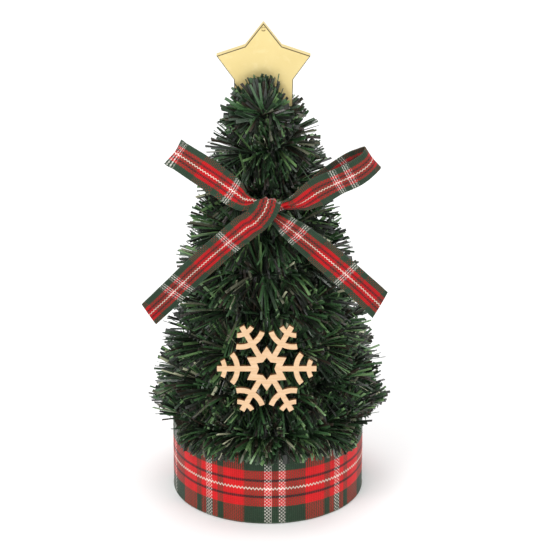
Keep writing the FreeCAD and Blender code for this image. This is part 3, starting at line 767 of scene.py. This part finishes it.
def wire_point(turn):
    """Centre of the core wire, counted in turns from where the first row passes the front."""
    turn = np.asarray(turn, float)
    # nearly level across the front, climbing mostly round the back
    levelling = np.interp(turn, [3.0, 8.0], [0.75, 0.35])
    z = FIRST_ROW_Z + PITCH * (turn - levelling / (2 * np.pi) * np.sin(2 * np.pi * turn))
    z = np.maximum(z, 42.4 + 0.6 * np.clip(turn + 1.0, 0, 1))
    z = np.minimum(z, 211.5 + 0.35 * (turn - 8.0))
    radius = np.maximum(CONE_R - CONE_SLOPE * (z - DECK_TOP) + WIRE_OFF, 4.4)
    angle = 2 * np.pi * turn - np.pi / 2
    return np.stack([radius * np.cos(angle), radius * np.sin(angle), z], -1)


def radial_from(points):
    return unit(points * np.array([1, 1, 0]))


def wire_frame(turn):
    """Points on the wire with their directions along it, out of the cone and up the cone."""
    step = 1e-3
    along = unit(wire_point(turn + step) - wire_point(turn - step))
    point = wire_point(turn)
    tilt = math.atan(CONE_SLOPE)
    outward = radial_from(point) * math.cos(tilt) + np.array([0, 0, math.sin(tilt)])
    outward = square_to(outward, along)
    upward = np.cross(along, outward)
    return point, along, outward, upward * np.sign(upward[..., 2:3])


turns = np.linspace(TURN_START, TURN_END, 6000)
wire_steps = np.linalg.norm(np.diff(wire_point(turns), axis=0), axis=1)
wire_length = np.concatenate([[0], np.cumsum(wire_steps)])

# ------------------------------------------------------------------ film strips
STRIPS_PER_MM = 8.6
FAN_TWIST = 10.5  # wire length in which the fans of strips turn once
STRIP_SEGMENTS = 4
STRIP_HALF_THICKNESS = 0.075
ROOT_OFF = 0.55  # strips start this far from the wire's centre
SHARES = np.array([share for *_, share in FILMS])
SHARES = SHARES / SHARES.sum()
STEPS = np.linspace(0, 1, STRIP_SEGMENTS + 1)
UP = np.array([0, 0, 1.0])
rng = np.random.default_rng(20261)


def column(values):
    """One value per strip, shaped to multiply (strip, step, xyz)."""
    return np.reshape(values, (-1, 1, 1))


def trim_factor(points, length):
    """How long the unevenly trimmed and squeezed strips are at each place on the wire."""
    angle = np.arctan2(points[:, 1], points[:, 0])
    right, left = np.clip(np.cos(angle), 0, 1), np.clip(-np.cos(angle), 0, 1)
    z = points[:, 2]
    factor = 1.0 - 0.36 * right * np.exp(-(((z - 158.0) / 7.0) ** 2))
    factor += 0.2 * left * np.exp(-(((z - 137.0) / 10.0) ** 2))
    factor += 0.02 * right * np.exp(-(((z - 72.0) / 10.0) ** 2))
    factor -= 0.14 * np.clip((z - 192.0) / 10.0, 0, 1)
    factor -= 0.09 * right * np.clip((z - 185.0) / 10.0, 0, 1)
    factor += 0.035 * np.sin(length / 9.0) + 0.04 * np.sin(length / 3.3 + 1.0)
    return factor


def random_across(direction):
    return square_to(rng.normal(0, 1, direction.shape), direction)


def bowed(start, direction, length, bend, bend_way, droop):
    """Centre lines (strip, step, xyz) that set off straight, then bend sideways and droop."""
    step = STEPS[None, :, None]
    curve = column(bend) * bend_way[:, None, :] - UP * column(droop)
    return start[:, None, :] + column(length) * (step * direction[:, None, :] + step**2 * curve)


def clear(lines, test):
    """Which centre lines pass a keep-out test at every point and midpoint."""
    middles = (lines[:, 1:] + lines[:, :-1]) / 2
    return ~test(np.concatenate([lines[:, 1:], middles], axis=1)).any(axis=1)


# longest strip of the end tuft by its angle from upright (degrees, right positive)
TUFT_DEGREES = [-100, -75, -55, -42, -20, 0, 13, 24, 36, 50, 66, 80, 98]
TUFT_LENGTH = [20, 19, 18.5, 21, 22, 23, 23.5, 18, 14.5, 14, 16.5, 18.5, 19]


def tuft(count):
    """Strips of the garland's end that burst out in a fan in front of the star."""
    degrees = rng.uniform(-100.0, 98.0, count)
    angle = np.radians(degrees)
    spread = 0.09 + 0.24 * np.sin(angle) ** 2
    forward = np.abs(rng.normal(0.0, 1.0, count)) * spread + 0.02
    direction = unit(np.stack([np.sin(angle), -np.sin(forward), np.cos(angle)], -1))
    x = -2.4 + rng.normal(0, 2.4, count)
    y = -5.2 - np.abs(rng.normal(0, 0.8, count))
    z = 207.6 + rng.normal(0, 1.2, count)
    longest = np.interp(degrees, TUFT_DEGREES, TUFT_LENGTH)
    length = longest * (1.0 - 0.35 * rng.random(count) ** 2)
    bend = np.abs(rng.normal(0, 0.06, count))
    bend_way = random_across(direction)
    lines = bowed(np.stack([x, y, z], -1), direction, length, bend, bend_way, 0.0)
    side = unit(np.stack([np.cos(angle), rng.normal(0, 0.7, count), -np.sin(angle)], -1))
    good = clear(lines, in_the_way)
    return lines[good], side[good]


def fringe(count):
    """Strips of the lowest row that hang out over the edge of the drum."""
    point, along, _, _ = wire_frame(rng.uniform(TURN_START + 0.1, 0.55, count))
    tilt = np.radians(-37.5 + 38.0 * rng.random(count) ** 1.4)
    direction = unit(
        np.cos(tilt)[:, None] * radial_from(point)
        + np.sin(tilt)[:, None] * UP
        + rng.normal(0, 0.34, count)[:, None] * along
    )
    stub = rng.random(count) < 0.45
    length = np.where(stub, rng.uniform(12.0, 18.5, count), rng.normal(21.4, 1.2, count))
    bend = np.abs(rng.normal(0, 0.06, count))
    droop = rng.uniform(0.02, 0.42, count) + 0.12 * stub
    bend_way = random_across(direction)
    lines = bowed(point + direction * ROOT_OFF, direction, length, bend, bend_way, droop)
    good = clear(lines, blocked)
    return lines[good], random_across(direction)[good]


def overhang(count):
    """Strips of the lowest row that lie across the deck's rim and turn down beside the drum."""
    point, along, _, _ = wire_frame(rng.uniform(TURN_START + 0.05, 0.6, count))
    out = rng.uniform(51.6, 59.0, count) - np.hypot(point[:, 0], point[:, 1])
    down = point[:, 2] - rng.uniform(31.0, 39.5, count)
    sway = rng.normal(0, 0.36, count) * out
    step = STEPS[None, :, None]
    lines = (
        point[:, None, :]
        + radial_from(point)[:, None, :] * column(out) * (1 - (1 - step) ** 1.7)
        + along[:, None, :] * column(sway) * step
        - UP * column(down) * step**2.3
    )
    good = clear(lines, blocked)
    return lines[good], random_across(unit(lines[:, -1] - lines[:, 0]))[good]


def strips(count, length_low, length_high):
    """Strips rooted between two places on the wire: centre lines that miss everything else,
    and the direction across each strip."""
    done_lines, done_sides = [], []
    need = count
    for _ in range(16):
        if need <= 20:
            break
        place = rng.uniform(length_low, length_high, need)
        # the film is caught between two twisted wires, so most strips follow the twist in two
        # opposite fans; swing turns from out of the cone towards up it
        follow = rng.random(need) < 0.78
        fan = (
            2 * np.pi * place / FAN_TWIST
            + np.pi * rng.integers(0, 2, need)
            + rng.normal(0, 0.27, need)
        )
        swing = np.where(follow, fan, rng.uniform(-np.pi, np.pi, need))
        swing = (swing + np.pi) % (2 * np.pi) - np.pi
        outside = np.abs(swing) < math.radians(98)
        kept = outside & (rng.random(need) < 0.5 + 0.5 * np.abs(np.sin(swing)))
        place, swing = place[kept], swing[kept]
        n = len(place)
        point, along, outward, upward = wire_frame(np.interp(place, wire_length, turns))
        # neighbouring strips lean the same way along the wire, in clumps
        lean = 0.34 * np.sin(place / 2.6 + 1.7 * np.sin(place / 7.3)) + rng.normal(0, 0.13, n)
        direction = unit(
            np.cos(swing)[:, None] * outward
            + np.sin(swing)[:, None] * upward
            + lean[:, None] * along
        )
        length = rng.normal(21.6, 0.7, n) * trim_factor(point, place)
        short = rng.random(n) < 0.10
        length = np.where(short, length * rng.uniform(0.55, 0.95, n), length)
        bend_way = random_across(direction)
        bend = np.abs(rng.normal(0, 0.075, n))
        strongly_bent = rng.random(n) < 0.05
        bend = np.where(strongly_bent, bend + 0.16, bend)
        droop = rng.uniform(0.0, 0.07, n)
        lines = bowed(point + direction * ROOT_OFF, direction, length, bend, bend_way, droop)
        side = random_across(direction)
        good = clear(lines, blocked)
        done_lines.append(lines[good])
        done_sides.append(side[good])
        need -= int(good.sum())
    return np.concatenate(done_lines), np.concatenate(done_sides)


def strip_faces(stations):
    """Faces of one closed strip with four corners at each station."""
    faces = []
    for i in range(stations - 1):
        for c in range(4):
            k = (c + 1) % 4
            faces.append([i * 4 + c, (i + 1) * 4 + c, (i + 1) * 4 + k, i * 4 + k])
    end = (stations - 1) * 4
    return np.array(faces + [[0, 1, 2, 3], [end + 3, end + 2, end + 1, end]])


def strip_mesh(name, lines, side, pick, width_factor):
    n, stations, _ = lines.shape
    tangent = unit(np.gradient(lines, axis=1))
    angle = rng.normal(0, 0.35, n)[:, None] * STEPS[None]
    flat = square_to(side[:, None, :], tangent)
    face = np.cross(tangent, flat)
    across = flat * np.cos(angle)[..., None] + face * np.sin(angle)[..., None]
    up = np.cross(tangent, across) * STRIP_HALF_THICKNESS
    half_width = rng.uniform(0.9, 1.5, n) / 2
    half_width = np.where(rng.random(n) < 0.07, 0.22, half_width) * width_factor
    # strips are narrower where the twisted wire grips them
    grip = np.interp(STEPS, [0, 0.12, 1.0], [0.55, 0.95, 1.0])
    out = across * (half_width[:, None] * grip[None])[..., None]
    verts = np.stack(
        [lines + out + up, lines - out + up, lines - out - up, lines + out - up], axis=2
    )
    one = strip_faces(stations)
    base = np.arange(n)[:, None, None] * stations * 4
    faces = (base + one[None]).reshape(-1, 4)
    mat_index = np.repeat(pick, len(one))
    return new_mesh(name, verts.reshape(-1, 3), faces, film_mats, mat_index, smooth=False)


def garland_turn(k):
    """Tinsel on one turn of the wire; the first and last turns take in the loose ends."""
    low = TURN_START if k == 0 else k - 0.5
    high = TURN_END if k == 8 else k + 0.5
    length_low, length_high = np.interp([low, high], turns, wire_length)
    density = STRIPS_PER_MM * (1.0 if k < 7 else 1.25)
    batches = [strips(int((length_high - length_low) * density), length_low, length_high)]
    widths = [np.ones(len(batches[0][0]))]
    extras = []
    if k == 0:
        extras = [(fringe, 1300, 1.0), (overhang, 3000, 1.0)]
    if k == 8:
        extras = [(tuft, 270, 1.3)]
    for make, count, width in extras:
        batch = make(count)
        batches.append(batch)
        widths.append(np.full(len(batch[0]), width))
    lines = np.concatenate([batch[0] for batch in batches])
    side = np.concatenate([batch[1] for batch in batches])
    pick = rng.choice(len(FILMS), len(lines), p=SHARES)
    name = "tinsel_turn_%d" % (k + 1)
    piece = strip_mesh(name, lines, side, pick, np.concatenate(widths))
    stand_in(piece, "garland_turn_%d" % (k + 1))


for k in range(9):
    garland_turn(k)


# ------------------------------------------------------------------ core wire
def tube(path, radius, sides=6):
    """Closed round bar along a path."""
    tangent = unit(np.gradient(path, axis=0))
    level = unit(np.cross(np.broadcast_to(UP, tangent.shape), tangent))
    upright = np.cross(tangent, level)
    angle = np.linspace(0, 2 * np.pi, sides, endpoint=False)[None, :, None]
    ring = path[:, None, :] + radius * (
        np.cos(angle) * level[:, None, :] + np.sin(angle) * upright[:, None, :]
    )
    n = len(path)
    tip = tangent * radius * 0.3
    verts = np.concatenate([ring.reshape(-1, 3), path[:1] - tip[:1], path[-1:] + tip[-1:]])
    i, j = np.meshgrid(np.arange(n - 1), np.arange(sides), indexing="ij")
    k = (j + 1) % sides
    here, ahead = i * sides, (i + 1) * sides
    wall = np.stack([here + j, here + k, ahead + k, ahead + j], -1).reshape(-1, 4)
    j = np.arange(0, sides, 2)
    near, far = (j + 1) % sides, (j + 2) % sides
    start_cap = np.stack([np.full_like(j, n * sides), far, near, j], -1)
    end = (n - 1) * sides
    end_cap = np.stack([np.full_like(j, n * sides + 1), end + j, end + near, end + far], -1)
    return verts, np.concatenate([wall, start_cap, end_cap])


def core_wire():
    """Two strands twisted together, touching along their length."""
    strand_radius = 0.42
    strand_twist = 3.6  # wire length per full twist
    turn = np.linspace(-0.19, 8.02, 3400)
    point, _, outward, upward = wire_frame(turn)
    place = np.interp(turn, turns, wire_length)
    strands = []
    for strand in (0, 1):
        angle = 2 * np.pi * place / strand_twist + np.pi * strand
        offset = np.cos(angle)[:, None] * outward + np.sin(angle)[:, None] * upward
        strands.append(tube(point + strand_radius * offset, strand_radius))
    piece = new_mesh("garland_core_wire", *join_solids(strands), [wire_mat])
    stand_in(piece, "garland_wire")


core_wire()

# ------------------------------------------------------------------ bow
BOW_WIDTH = 15.0
BOW_THICKNESS = 0.4
BOW_COLUMNS = 31
CUT_REACH = 14.0  # length at the end over which a skewed cut is taken up


def bow_ribbon(
    name, stations, anchor, node, rows, seed, flip=False, wave=0.16, creases=(),
    cut=0.0,
):
    """A length of bow ribbon through its stations.

    anchor: a point on the run, the place in the tartan that falls there, and how many rows
    from the start are searched for it
    wave: size of the ripples; creases: place along, reach, depth and skew of each
    cut: how far the scissors ran askew over half the width
    """
    samples, run = smooth_run(stations, rows)
    middle = samples[:, :3]
    roll, gather = samples[:, 6, None], np.clip(samples[:, 7, None], 0.2, 1.0)
    tangent = unit(np.gradient(middle, axis=0))
    across = square_to(unit(samples[:, 3:6]), tangent)
    normal = np.cross(tangent, across)
    if flip:
        normal = -normal
    point, tartan_place, search = anchor
    nearest = int(np.argmin(np.linalg.norm(middle[:search] - point, axis=1)))

    # the cross-section is an arc, narrowed where the ribbon is gathered
    cross = np.linspace(-BOW_WIDTH / 2, BOW_WIDTH / 2, BOW_COLUMNS)[None]
    along = run[:, None]
    edge = 2 * cross / BOW_WIDTH
    roll = np.where(np.abs(roll) < 1e-3, 1e-3, roll)
    angle = roll * cross / BOW_WIDTH
    sideways = gather * BOW_WIDTH / roll * np.sin(angle)
    depth = gather * BOW_WIDTH / roll * (np.cos(angle) - np.cos(roll / 2))

    ribbon_rng = np.random.default_rng(seed)
    pace = ribbon_rng.uniform(0.8, 1.2, 4)
    phase = ribbon_rng.uniform(0, 6.28, 8)
    ripple = wave * (
        np.sin(along / (4.6 * pace[0]) + phase[0] + 0.12 * cross)
        + 0.6 * np.sin(along / (2.3 * pace[1]) + phase[1] - 0.2 * cross)
    )
    fold_depth = np.sqrt(1.0 - gather**2) * BOW_WIDTH / 3.0 / (2 * np.pi) * 1.15
    folds = fold_depth * (
        np.sin(2 * np.pi * 3.0 * cross / BOW_WIDTH + phase[2] + 0.035 * along)
        + 0.45 * np.sin(2 * np.pi * 5.0 * cross / BOW_WIDTH + phase[3] - 0.05 * along)
    )
    edge_calm = np.clip(1.25 - 0.6 * np.abs(edge) ** 4, 0, 1)
    depth = depth + ripple + folds * edge_calm
    for place, reach, size, skew in creases:
        depth = depth + size * np.exp(-(((along - place - skew * cross) / reach) ** 2))

    askew = cut * np.clip(1.0 - (run[-1] - along) / CUT_REACH, 0, 1) * edge
    grid = (
        middle[:, None, :]
        + sideways[..., None] * across[:, None, :]
        + depth[..., None] * normal[:, None, :]
        + askew[..., None] * tangent[:, None, :]
    )
    thickness = np.full((rows, BOW_COLUMNS), BOW_THICKNESS)
    thickness[:, [0, -1]] = BOW_THICKNESS * 1.4
    weave_along = along + (tartan_place - run[nearest]) + askew
    weave_across = np.broadcast_to(cross, weave_along.shape)
    piece = ribbon_mesh(name, grid, thickness, tartan_narrow, weave_along, weave_across)
    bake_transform(piece)
    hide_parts(node)


def station(upper, lower, roll, gather):
    """Midpoint of two edges, direction across, roll (radians) and gathering (1 is flat)."""
    upper, lower = np.array(upper, float), np.array(lower, float)
    return list((upper + lower) / 2) + list(unit(upper - lower)) + [roll, gather]


def seen_station(arm, upper_u, upper_w, lower_u, lower_w, behind, roll, gather):
    """A station whose edges lie at (u, w) of the arm's plane as seen by the viewer; the edges
    are parted along the line of sight until they are a ribbon's width apart."""
    chord = gather * BOW_WIDTH * math.sin(roll / 2) / (roll / 2)
    upper, lower = arm.at(upper_u, upper_w, 0.0), arm.at(lower_u, lower_w, 0.0)
    gap = upper - lower
    square, linear, constant = RAY @ RAY, 2 * gap @ RAY, gap @ gap - chord**2
    root = linear * linear - 4 * square * constant
    if root > 0:
        apart = (-linear + arm.lean * math.sqrt(root)) / (2 * square)
    else:
        apart = -linear / (2 * square)
    apart = max(-9.0, min(9.0, apart))
    return station(
        upper + (behind + apart / 2) * RAY, lower + (behind - apart / 2) * RAY, roll, gather
    )


def seen_stations(arm, rows):
    return [seen_station(arm, *row) for row in rows]


# Columns of the tables below: upper edge u, w; lower edge u, w; how far behind the arm's plane
# the middle lies; roll in radians; gathering (1 is flat).
# left loop: flat and nearly closed
LEFT_LOOP_ROWS = [
    (3.0, 1.2, 3.0, -1.4, 0.6, 2.4, 0.3),
    (6.0, 1.0, 5.6, -1.4, -0.4, 2.4, 0.3),
    (9.3, 1.1, 8.4, -2.0, -1.2, 2.2, 0.36),
    (11.9, 1.8, 11.4, -5.2, -1.7, 2.0, 0.62),
    (14.4, 2.8, 14.4, -7.5, -2.0, 1.6, 0.84),
    (18.4, 4.6, 17.8, -8.1, -2.2, 1.1, 0.97),
    (23.3, 6.1, 21.6, -8.3, -2.3, 0.75, 1.0),
    (32.0, 7.6, 30.4, -8.0, -2.4, 0.4, 1.0),
    (41.3, 8.4, 39.6, -7.7, -2.3, 0.3, 1.0),
    (49.5, 8.25, 48.4, -7.1, -2.1, 0.2, 1.0),
    (54.6, 8.1, 54.4, -6.6, -1.4, 0.15, 1.0),
    (56.2, 8.0, 56.2, -6.4, 0.0, 0.1, 1.0),
    (54.8, 7.9, 54.8, -6.3, 1.3, 0.15, 1.0),
    (48.5, 7.9, 48.5, -6.5, 1.9, 0.2, 1.0),
    (38.0, 7.6, 38.0, -6.9, 2.2, 0.3, 1.0),
    (27.0, 6.3, 27.0, -7.4, 2.3, 0.45, 1.0),
    (18.5, 4.0, 18.5, -7.0, 2.2, 0.9, 0.88),
    (12.0, 1.4, 12.0, -4.6, 2.0, 2.0, 0.6),
    (6.0, 1.0, 6.0, -1.2, 1.7, 2.4, 0.32),
]
# right loop: opened out, its back band shows above the front one
RIGHT_LOOP_ROWS = [
    (3.0, 1.2, 3.0, -1.2, 0.6, 2.4, 0.3),
    (6.4, 0.9, 5.8, -1.3, -0.6, 2.4, 0.3),
    (9.6, 0.6, 8.6, -2.4, -1.6, 2.2, 0.38),
    (12.6, 0.6, 12.2, -5.4, -2.6, 1.9, 0.64),
    (17.0, 1.8, 16.6, -9.0, -3.8, 1.3, 0.86),
    (21.6, 3.0, 21.2, -10.3, -4.8, 0.9, 0.97),
    (26.4, 3.7, 26.8, -11.0, -5.4, 0.6, 1.0),
    (34.6, 2.7, 36.0, -10.95, -6.0, 0.45, 1.0),
    (43.2, 1.6, 45.7, -11.7, -6.0, 0.35, 1.0),
    (50.2, 1.4, 52.6, -11.0, -4.8, 0.3, 1.0),
    (55.2, 2.0, 57.2, -9.6, -2.6, 0.25, 1.0),
    (57.8, 3.3, 59.2, -8.0, 0.6, 0.2, 1.0),
    (56.9, 4.9, 58.6, -6.8, 3.9, 0.2, 1.0),
    (53.2, 6.0, 54.6, -6.0, 6.6, 0.2, 1.0),
    (47.6, 6.5, 48.6, -6.0, 8.0, 0.2, 1.0),
    (40.0, 6.3, 40.5, -6.6, 8.3, 0.25, 1.0),
    (31.0, 4.9, 31.5, -7.6, 7.6, 0.35, 1.0),
    (22.5, 3.0, 22.5, -7.8, 6.0, 0.7, 0.94),
    (15.0, 1.6, 15.0, -6.0, 4.2, 1.4, 0.72),
    (9.0, 0.9, 9.0, -2.8, 2.9, 2.1, 0.42),
    (4.5, 0.8, 4.5, -1.4, 2.0, 2.4, 0.32),
]
# right tail: comes out from under the knot
RIGHT_TAIL_ROWS = [
    (0.5, 1.8, 0.5, -1.8, 1.6, 1.9, 0.34),
    (3.6, 3.2, 3.6, -3.0, 0.9, 1.7, 0.5),
    (7.4, 4.7, 7.8, -4.0, 0.2, 1.4, 0.7),
    (13.0, 5.8, 13.6, -5.2, -0.4, 1.0, 0.86),
    (19.4, 6.5, 20.4, -6.1, -0.7, 0.65, 0.96),
    (29.0, 6.8, 30.6, -7.0, -0.7, 0.4, 1.0),
    (38.3, 6.8, 40.7, -7.6, -0.4, 0.3, 1.0),
    (48.5, 6.3, 51.2, -8.1, -0.1, 0.3, 1.0),
    (58.0, 5.8, 60.9, -8.5, 0.2, 0.3, 1.0),
    (66.5, 5.3, 69.8, -9.4, 0.4, 0.3, 1.0),
    (73.7, 4.7, 77.6, -10.2, 0.6, 0.35, 1.0),
]
# left tail, beyond the knot band
LEFT_TAIL_ROWS = [
    (23.3, 8.8, 23.2, -4.9, -1.3, 0.5, 1.0),
    (33.4, 8.7, 34.2, -4.5, -0.9, 0.35, 1.0),
    (44.8, 8.3, 45.4, -4.8, -0.4, 0.25, 1.0),
    (55.4, 7.8, 56.4, -5.1, 0.0, 0.2, 1.0),
    (69.0, 6.8, 71.0, -5.7, 0.4, 0.25, 1.0),
    (81.0, 5.8, 84.5, -5.9, 0.7, 0.3, 1.0),
]
# knot band, up behind the knot and over it: one edge, the other edge, roll, gathering
KNOT_BAND_ROWS = [
    ((-3.4, -35.2, 163.4), (4.4, -35.4, 162.6), 1.2, 0.6),
    ((-4.0, -33.9, 168.4), (5.2, -33.9, 167.8), 1.2, 0.68),
    ((-4.4, -34.6, 172.2), (6.0, -34.6, 171.6), 1.2, 0.76),
    ((-5.3, -37.4, 174.2), (6.6, -37.4, 173.6), 1.2, 0.84),
    ((-6.9, -40.6, 174.4), (7.1, -40.6, 173.4), 1.5, 0.94),
    ((-8.9, -42.4, 173.0), (6.4, -42.6, 170.8), 1.7, 0.96),
    ((-11.4, -42.6, 170.3), (4.1, -43.6, 167.2), 1.7, 0.96),
    ((-14.1, -42.0, 168.0), (0.3, -43.3, 162.8), 1.5, 0.97),
    ((-17.2, -41.2, 165.8), (-4.4, -42.4, 158.6), 1.2, 0.97),
]

bow_ribbon(
    "bow_ribbon_loop_left",
    seen_stations(LEFT_LOOP, LEFT_LOOP_ROWS),
    anchor=(LEFT_LOOP.at(22.0, -1.1, -2.3), HALF_SETT, 85),
    node="bow_loop_left",
    rows=190,
    seed=11,
    flip=True,
)
bow_ribbon(
    "bow_ribbon_loop_right",
    seen_stations(RIGHT_LOOP, RIGHT_LOOP_ROWS),
    anchor=(RIGHT_LOOP.at(40.6, -4.4, -6.0), 2 * HALF_SETT, 95),
    node="bow_loop_right",
    rows=200,
    seed=12,
)
bow_ribbon(
    "bow_ribbon_tail_right",
    seen_stations(RIGHT_TAIL, RIGHT_TAIL_ROWS),
    anchor=(RIGHT_TAIL.at(15.7, 0.4, -0.5), 0.0, 130),
    node="bow_tail_right",
    rows=130,
    seed=13,
    cut=-2.2,
)
# the knot band and the left tail are one run of ribbon
bow_ribbon(
    "bow_ribbon_knot_and_tail_left",
    [station(*row) for row in KNOT_BAND_ROWS] + seen_stations(LEFT_TAIL, LEFT_TAIL_ROWS),
    anchor=(LEFT_TAIL.at(26.4, 2.1, -1.2), HALF_SETT, 230),
    node="bow_tail_left",
    rows=230,
    seed=14,
    flip=True,
    wave=0.12,
    creases=(
        (22.5, 1.2, -0.7, 0.35), (27.5, 1.3, 0.6, 0.25),
        (31.5, 1.5, -0.5, 0.2), (17.0, 1.6, 0.4, -0.2),
    ),
    cut=-2.4,
)


def knot_core():
    """The gathered necks of the ribbon inside the knot, mostly hidden by the band round them."""
    centre = np.array([1.0, -38.4, 170.2])
    half_size = np.array([4.6, 3.0, 4.4])
    turn, polar = ball_angles(around=48, down=25, pole_gap=0.1)
    pleat = 1 + 0.07 * np.sin(9 * turn) * np.sin(polar) + 0.04 * np.sin(4 * turn + 3 * polar)
    x = np.cos(polar)
    y = np.sin(polar) * np.cos(turn) * pleat
    z = np.sin(polar) * np.sin(turn) * pleat
    verts, faces = ball_solid(np.stack([x, y, z], -1) * half_size + centre)
    weave = np.stack([polar * 4.0 + 20.0, (turn - np.pi) * 2.2, np.zeros_like(turn)], -1)
    weave = weave.reshape(-1, 3)
    weave = np.concatenate([weave, weave[:2]])
    piece = new_mesh("bow_knot_core", verts, faces, [tartan_narrow], weave=weave)
    stand_in(piece, "bow_knot")


knot_core()


# ------------------------------------------------------------------ base ribbon
def base_ribbon():
    """Wide ribbon wound once round the drum, its cut end lapped over the start at the back."""
    lap = 12.5  # degrees, centred on the back
    turn = np.linspace(0, math.radians(360 + lap), 900)
    height = np.linspace(RIBBON_LOW, RIBBON_TOP, 45)
    # the end steps outwards where it meets the start
    step_at = math.radians(360 - 1.0)
    rise = 0.46 * np.clip((turn - step_at) / math.radians(2.2), 0, 1)
    turn_grid, z = np.meshgrid(turn, height, indexing="ij")
    angle = math.radians(90 - lap / 2) + turn_grid
    radius = np.broadcast_to((DRUM_R + 0.38 + rise)[:, None], angle.shape).copy()
    radius += 0.05 * np.sin(angle * 9 + 0.12 * z) + 0.04 * np.sin(angle * 17 - 0.21 * z + 1.3)
    # edges stand off a trace where the selvedge is tighter
    hem = np.clip(1 - np.minimum(z - RIBBON_LOW, RIBBON_TOP - z) / 1.1, 0, 1)
    radius += 0.06 * hem
    grid = np.stack([radius * np.cos(angle), radius * np.sin(angle), z], -1)
    thickness = 0.36 + 0.12 * (hem > 0.25)
    # measured from the front centre; the double white sits 3.8 mm to the right of it
    along = (angle - math.radians(270)) * (DRUM_R + 0.6) - 3.8
    across = z - (RIBBON_LOW + RIBBON_TOP) / 2
    piece = ribbon_mesh("base_ribbon_wrap", grid, thickness, tartan_wide, along, across)
    stand_in(piece, "base_ribbon")


base_ribbon()


# ------------------------------------------------------------------ glue
def glue_blob(points, glue_rng):
    """An uneven lump that fills the box round the points."""
    low, high = points.min(0), points.max(0)
    centre, half_size = (low + high) / 2, (high - low) / 2
    turn, polar = ball_angles(around=24, down=13, pole_gap=0.12)
    phase = glue_rng.uniform(0, 6.28, 4)
    wobble = (
        1
        + 0.10 * np.sin(3 * turn + phase[0]) * np.sin(polar)
        + 0.07 * np.sin(5 * turn + 2 * polar + phase[1])
    )
    x = np.sin(polar) * np.cos(turn) * wobble
    y = np.cos(polar) * 0.98
    z = np.sin(polar) * np.sin(turn) * wobble
    return ball_solid(centre + np.stack([x, y, z], -1) * half_size * 0.97, flip=True)


def glue_blobs():
    node = NODES["hot_glue_dabs"]
    corners = np.array([vertex.co for vertex in node.data.vertices], float) * 1000
    x, y, z = xyz(corners)
    by_flake = (z < 110) & (z > 60)
    dabs = [
        (z > 150) & (y < -25),  # behind the bow
        by_flake & (x < 0),
        by_flake & (x > 0),
        z < 50,  # start of the garland
        z > 195,  # end of the garland
    ]
    glue_rng = np.random.default_rng(5)
    # a place where the CAD has no dab gets no blob
    blobs = [glue_blob(corners[dab], glue_rng) for dab in dabs if dab.any()]
    piece = new_mesh("hot_glue_blobs", *join_solids(blobs), [glue_mat])
    stand_in(piece, "hot_glue_dabs")


glue_blobs()

# ------------------------------------------------------------------ softened CAD edges
EDGE_WIDTHS = {"snowflake": 0.00012, "star_pick": 0.00015, "drum_deck": 0.0002}  # metres
for node_name, width in EDGE_WIDTHS.items():
    bevel = NODES[node_name].modifiers.new("soft_edges", "BEVEL")
    bevel.width = width
    bevel.segments = 2
    bevel.limit_method = "ANGLE"
    bevel.angle_limit = math.radians(40)
    bevel.harden_normals = False

# ------------------------------------------------------------------ stage, light, camera (metres)
bpy.ops.mesh.primitive_plane_add(size=12.0, location=(0, 0, 0))
floor = bpy.context.object
floor.name = "floor"
paper = Net("floor_paper")
cloud = paper.noise(paper.position(), scale=3.0, detail=2.0)
paper.set(
    Base_Color=paper.mix(cloud, (0.90, 0.90, 0.90, 1), (0.93, 0.93, 0.925, 1)),
    Roughness=0.75,
    Specular_IOR_Level=0.2,
)
floor.data.materials.append(paper.mat)

scene = bpy.context.scene
world = bpy.data.worlds.new("studio")
scene.world = world
world.use_nodes = True
background = [node for node in world.node_tree.nodes if node.type == "BACKGROUND"][0]
background.inputs["Color"].default_value = (1.0, 1.0, 1.0, 1.0)
background.inputs["Strength"].default_value = 0.85


def area_light(name, location, target, size, power):
    """A square lamp turned towards its target."""
    light = bpy.data.lights.new(name, "AREA")
    light.shape = "RECTANGLE"
    light.size = light.size_y = size
    light.energy = power
    lamp = bpy.data.objects.new(name, light)
    scene.collection.objects.link(lamp)
    lamp.location = location
    aim = Vector(target) - Vector(location)
    lamp.rotation_euler = aim.to_track_quat("-Z", "Y").to_euler()


area_light("key", location=(-0.75, -1.15, 1.25), target=(0, 0, 0.12), size=0.8, power=14.0)
area_light("fill", location=(1.2, -1.0, 0.7), target=(0, 0, 0.12), size=0.9, power=7.0)
area_light("top", location=(0.1, 0.3, 1.6), target=(0, 0, 0.1), size=1.2, power=9.0)

scene.view_settings.view_transform = "Standard"
scene.view_settings.look = "None"
scene.view_settings.exposure = 0.0
scene.view_settings.gamma = 1.0

CAMERA_PITCH = math.radians(22.75)  # looking down
CAMERA_DISTANCE = 1.6
CAMERA_TARGET = Vector((0.00403, 0.0, 0.1185))
camera_data = bpy.data.cameras.new("camera")
camera = bpy.data.objects.new("camera", camera_data)
scene.collection.objects.link(camera)
camera_data.sensor_width = 36.0
camera_data.lens = 202.03
camera_data.clip_start = 0.05
camera_data.clip_end = 30.0
backwards = Vector((0, -math.cos(CAMERA_PITCH), math.sin(CAMERA_PITCH)))
camera.location = CAMERA_TARGET + backwards * CAMERA_DISTANCE
camera.rotation_euler = (math.pi / 2 - CAMERA_PITCH, 0, 0)
scene.camera = camera
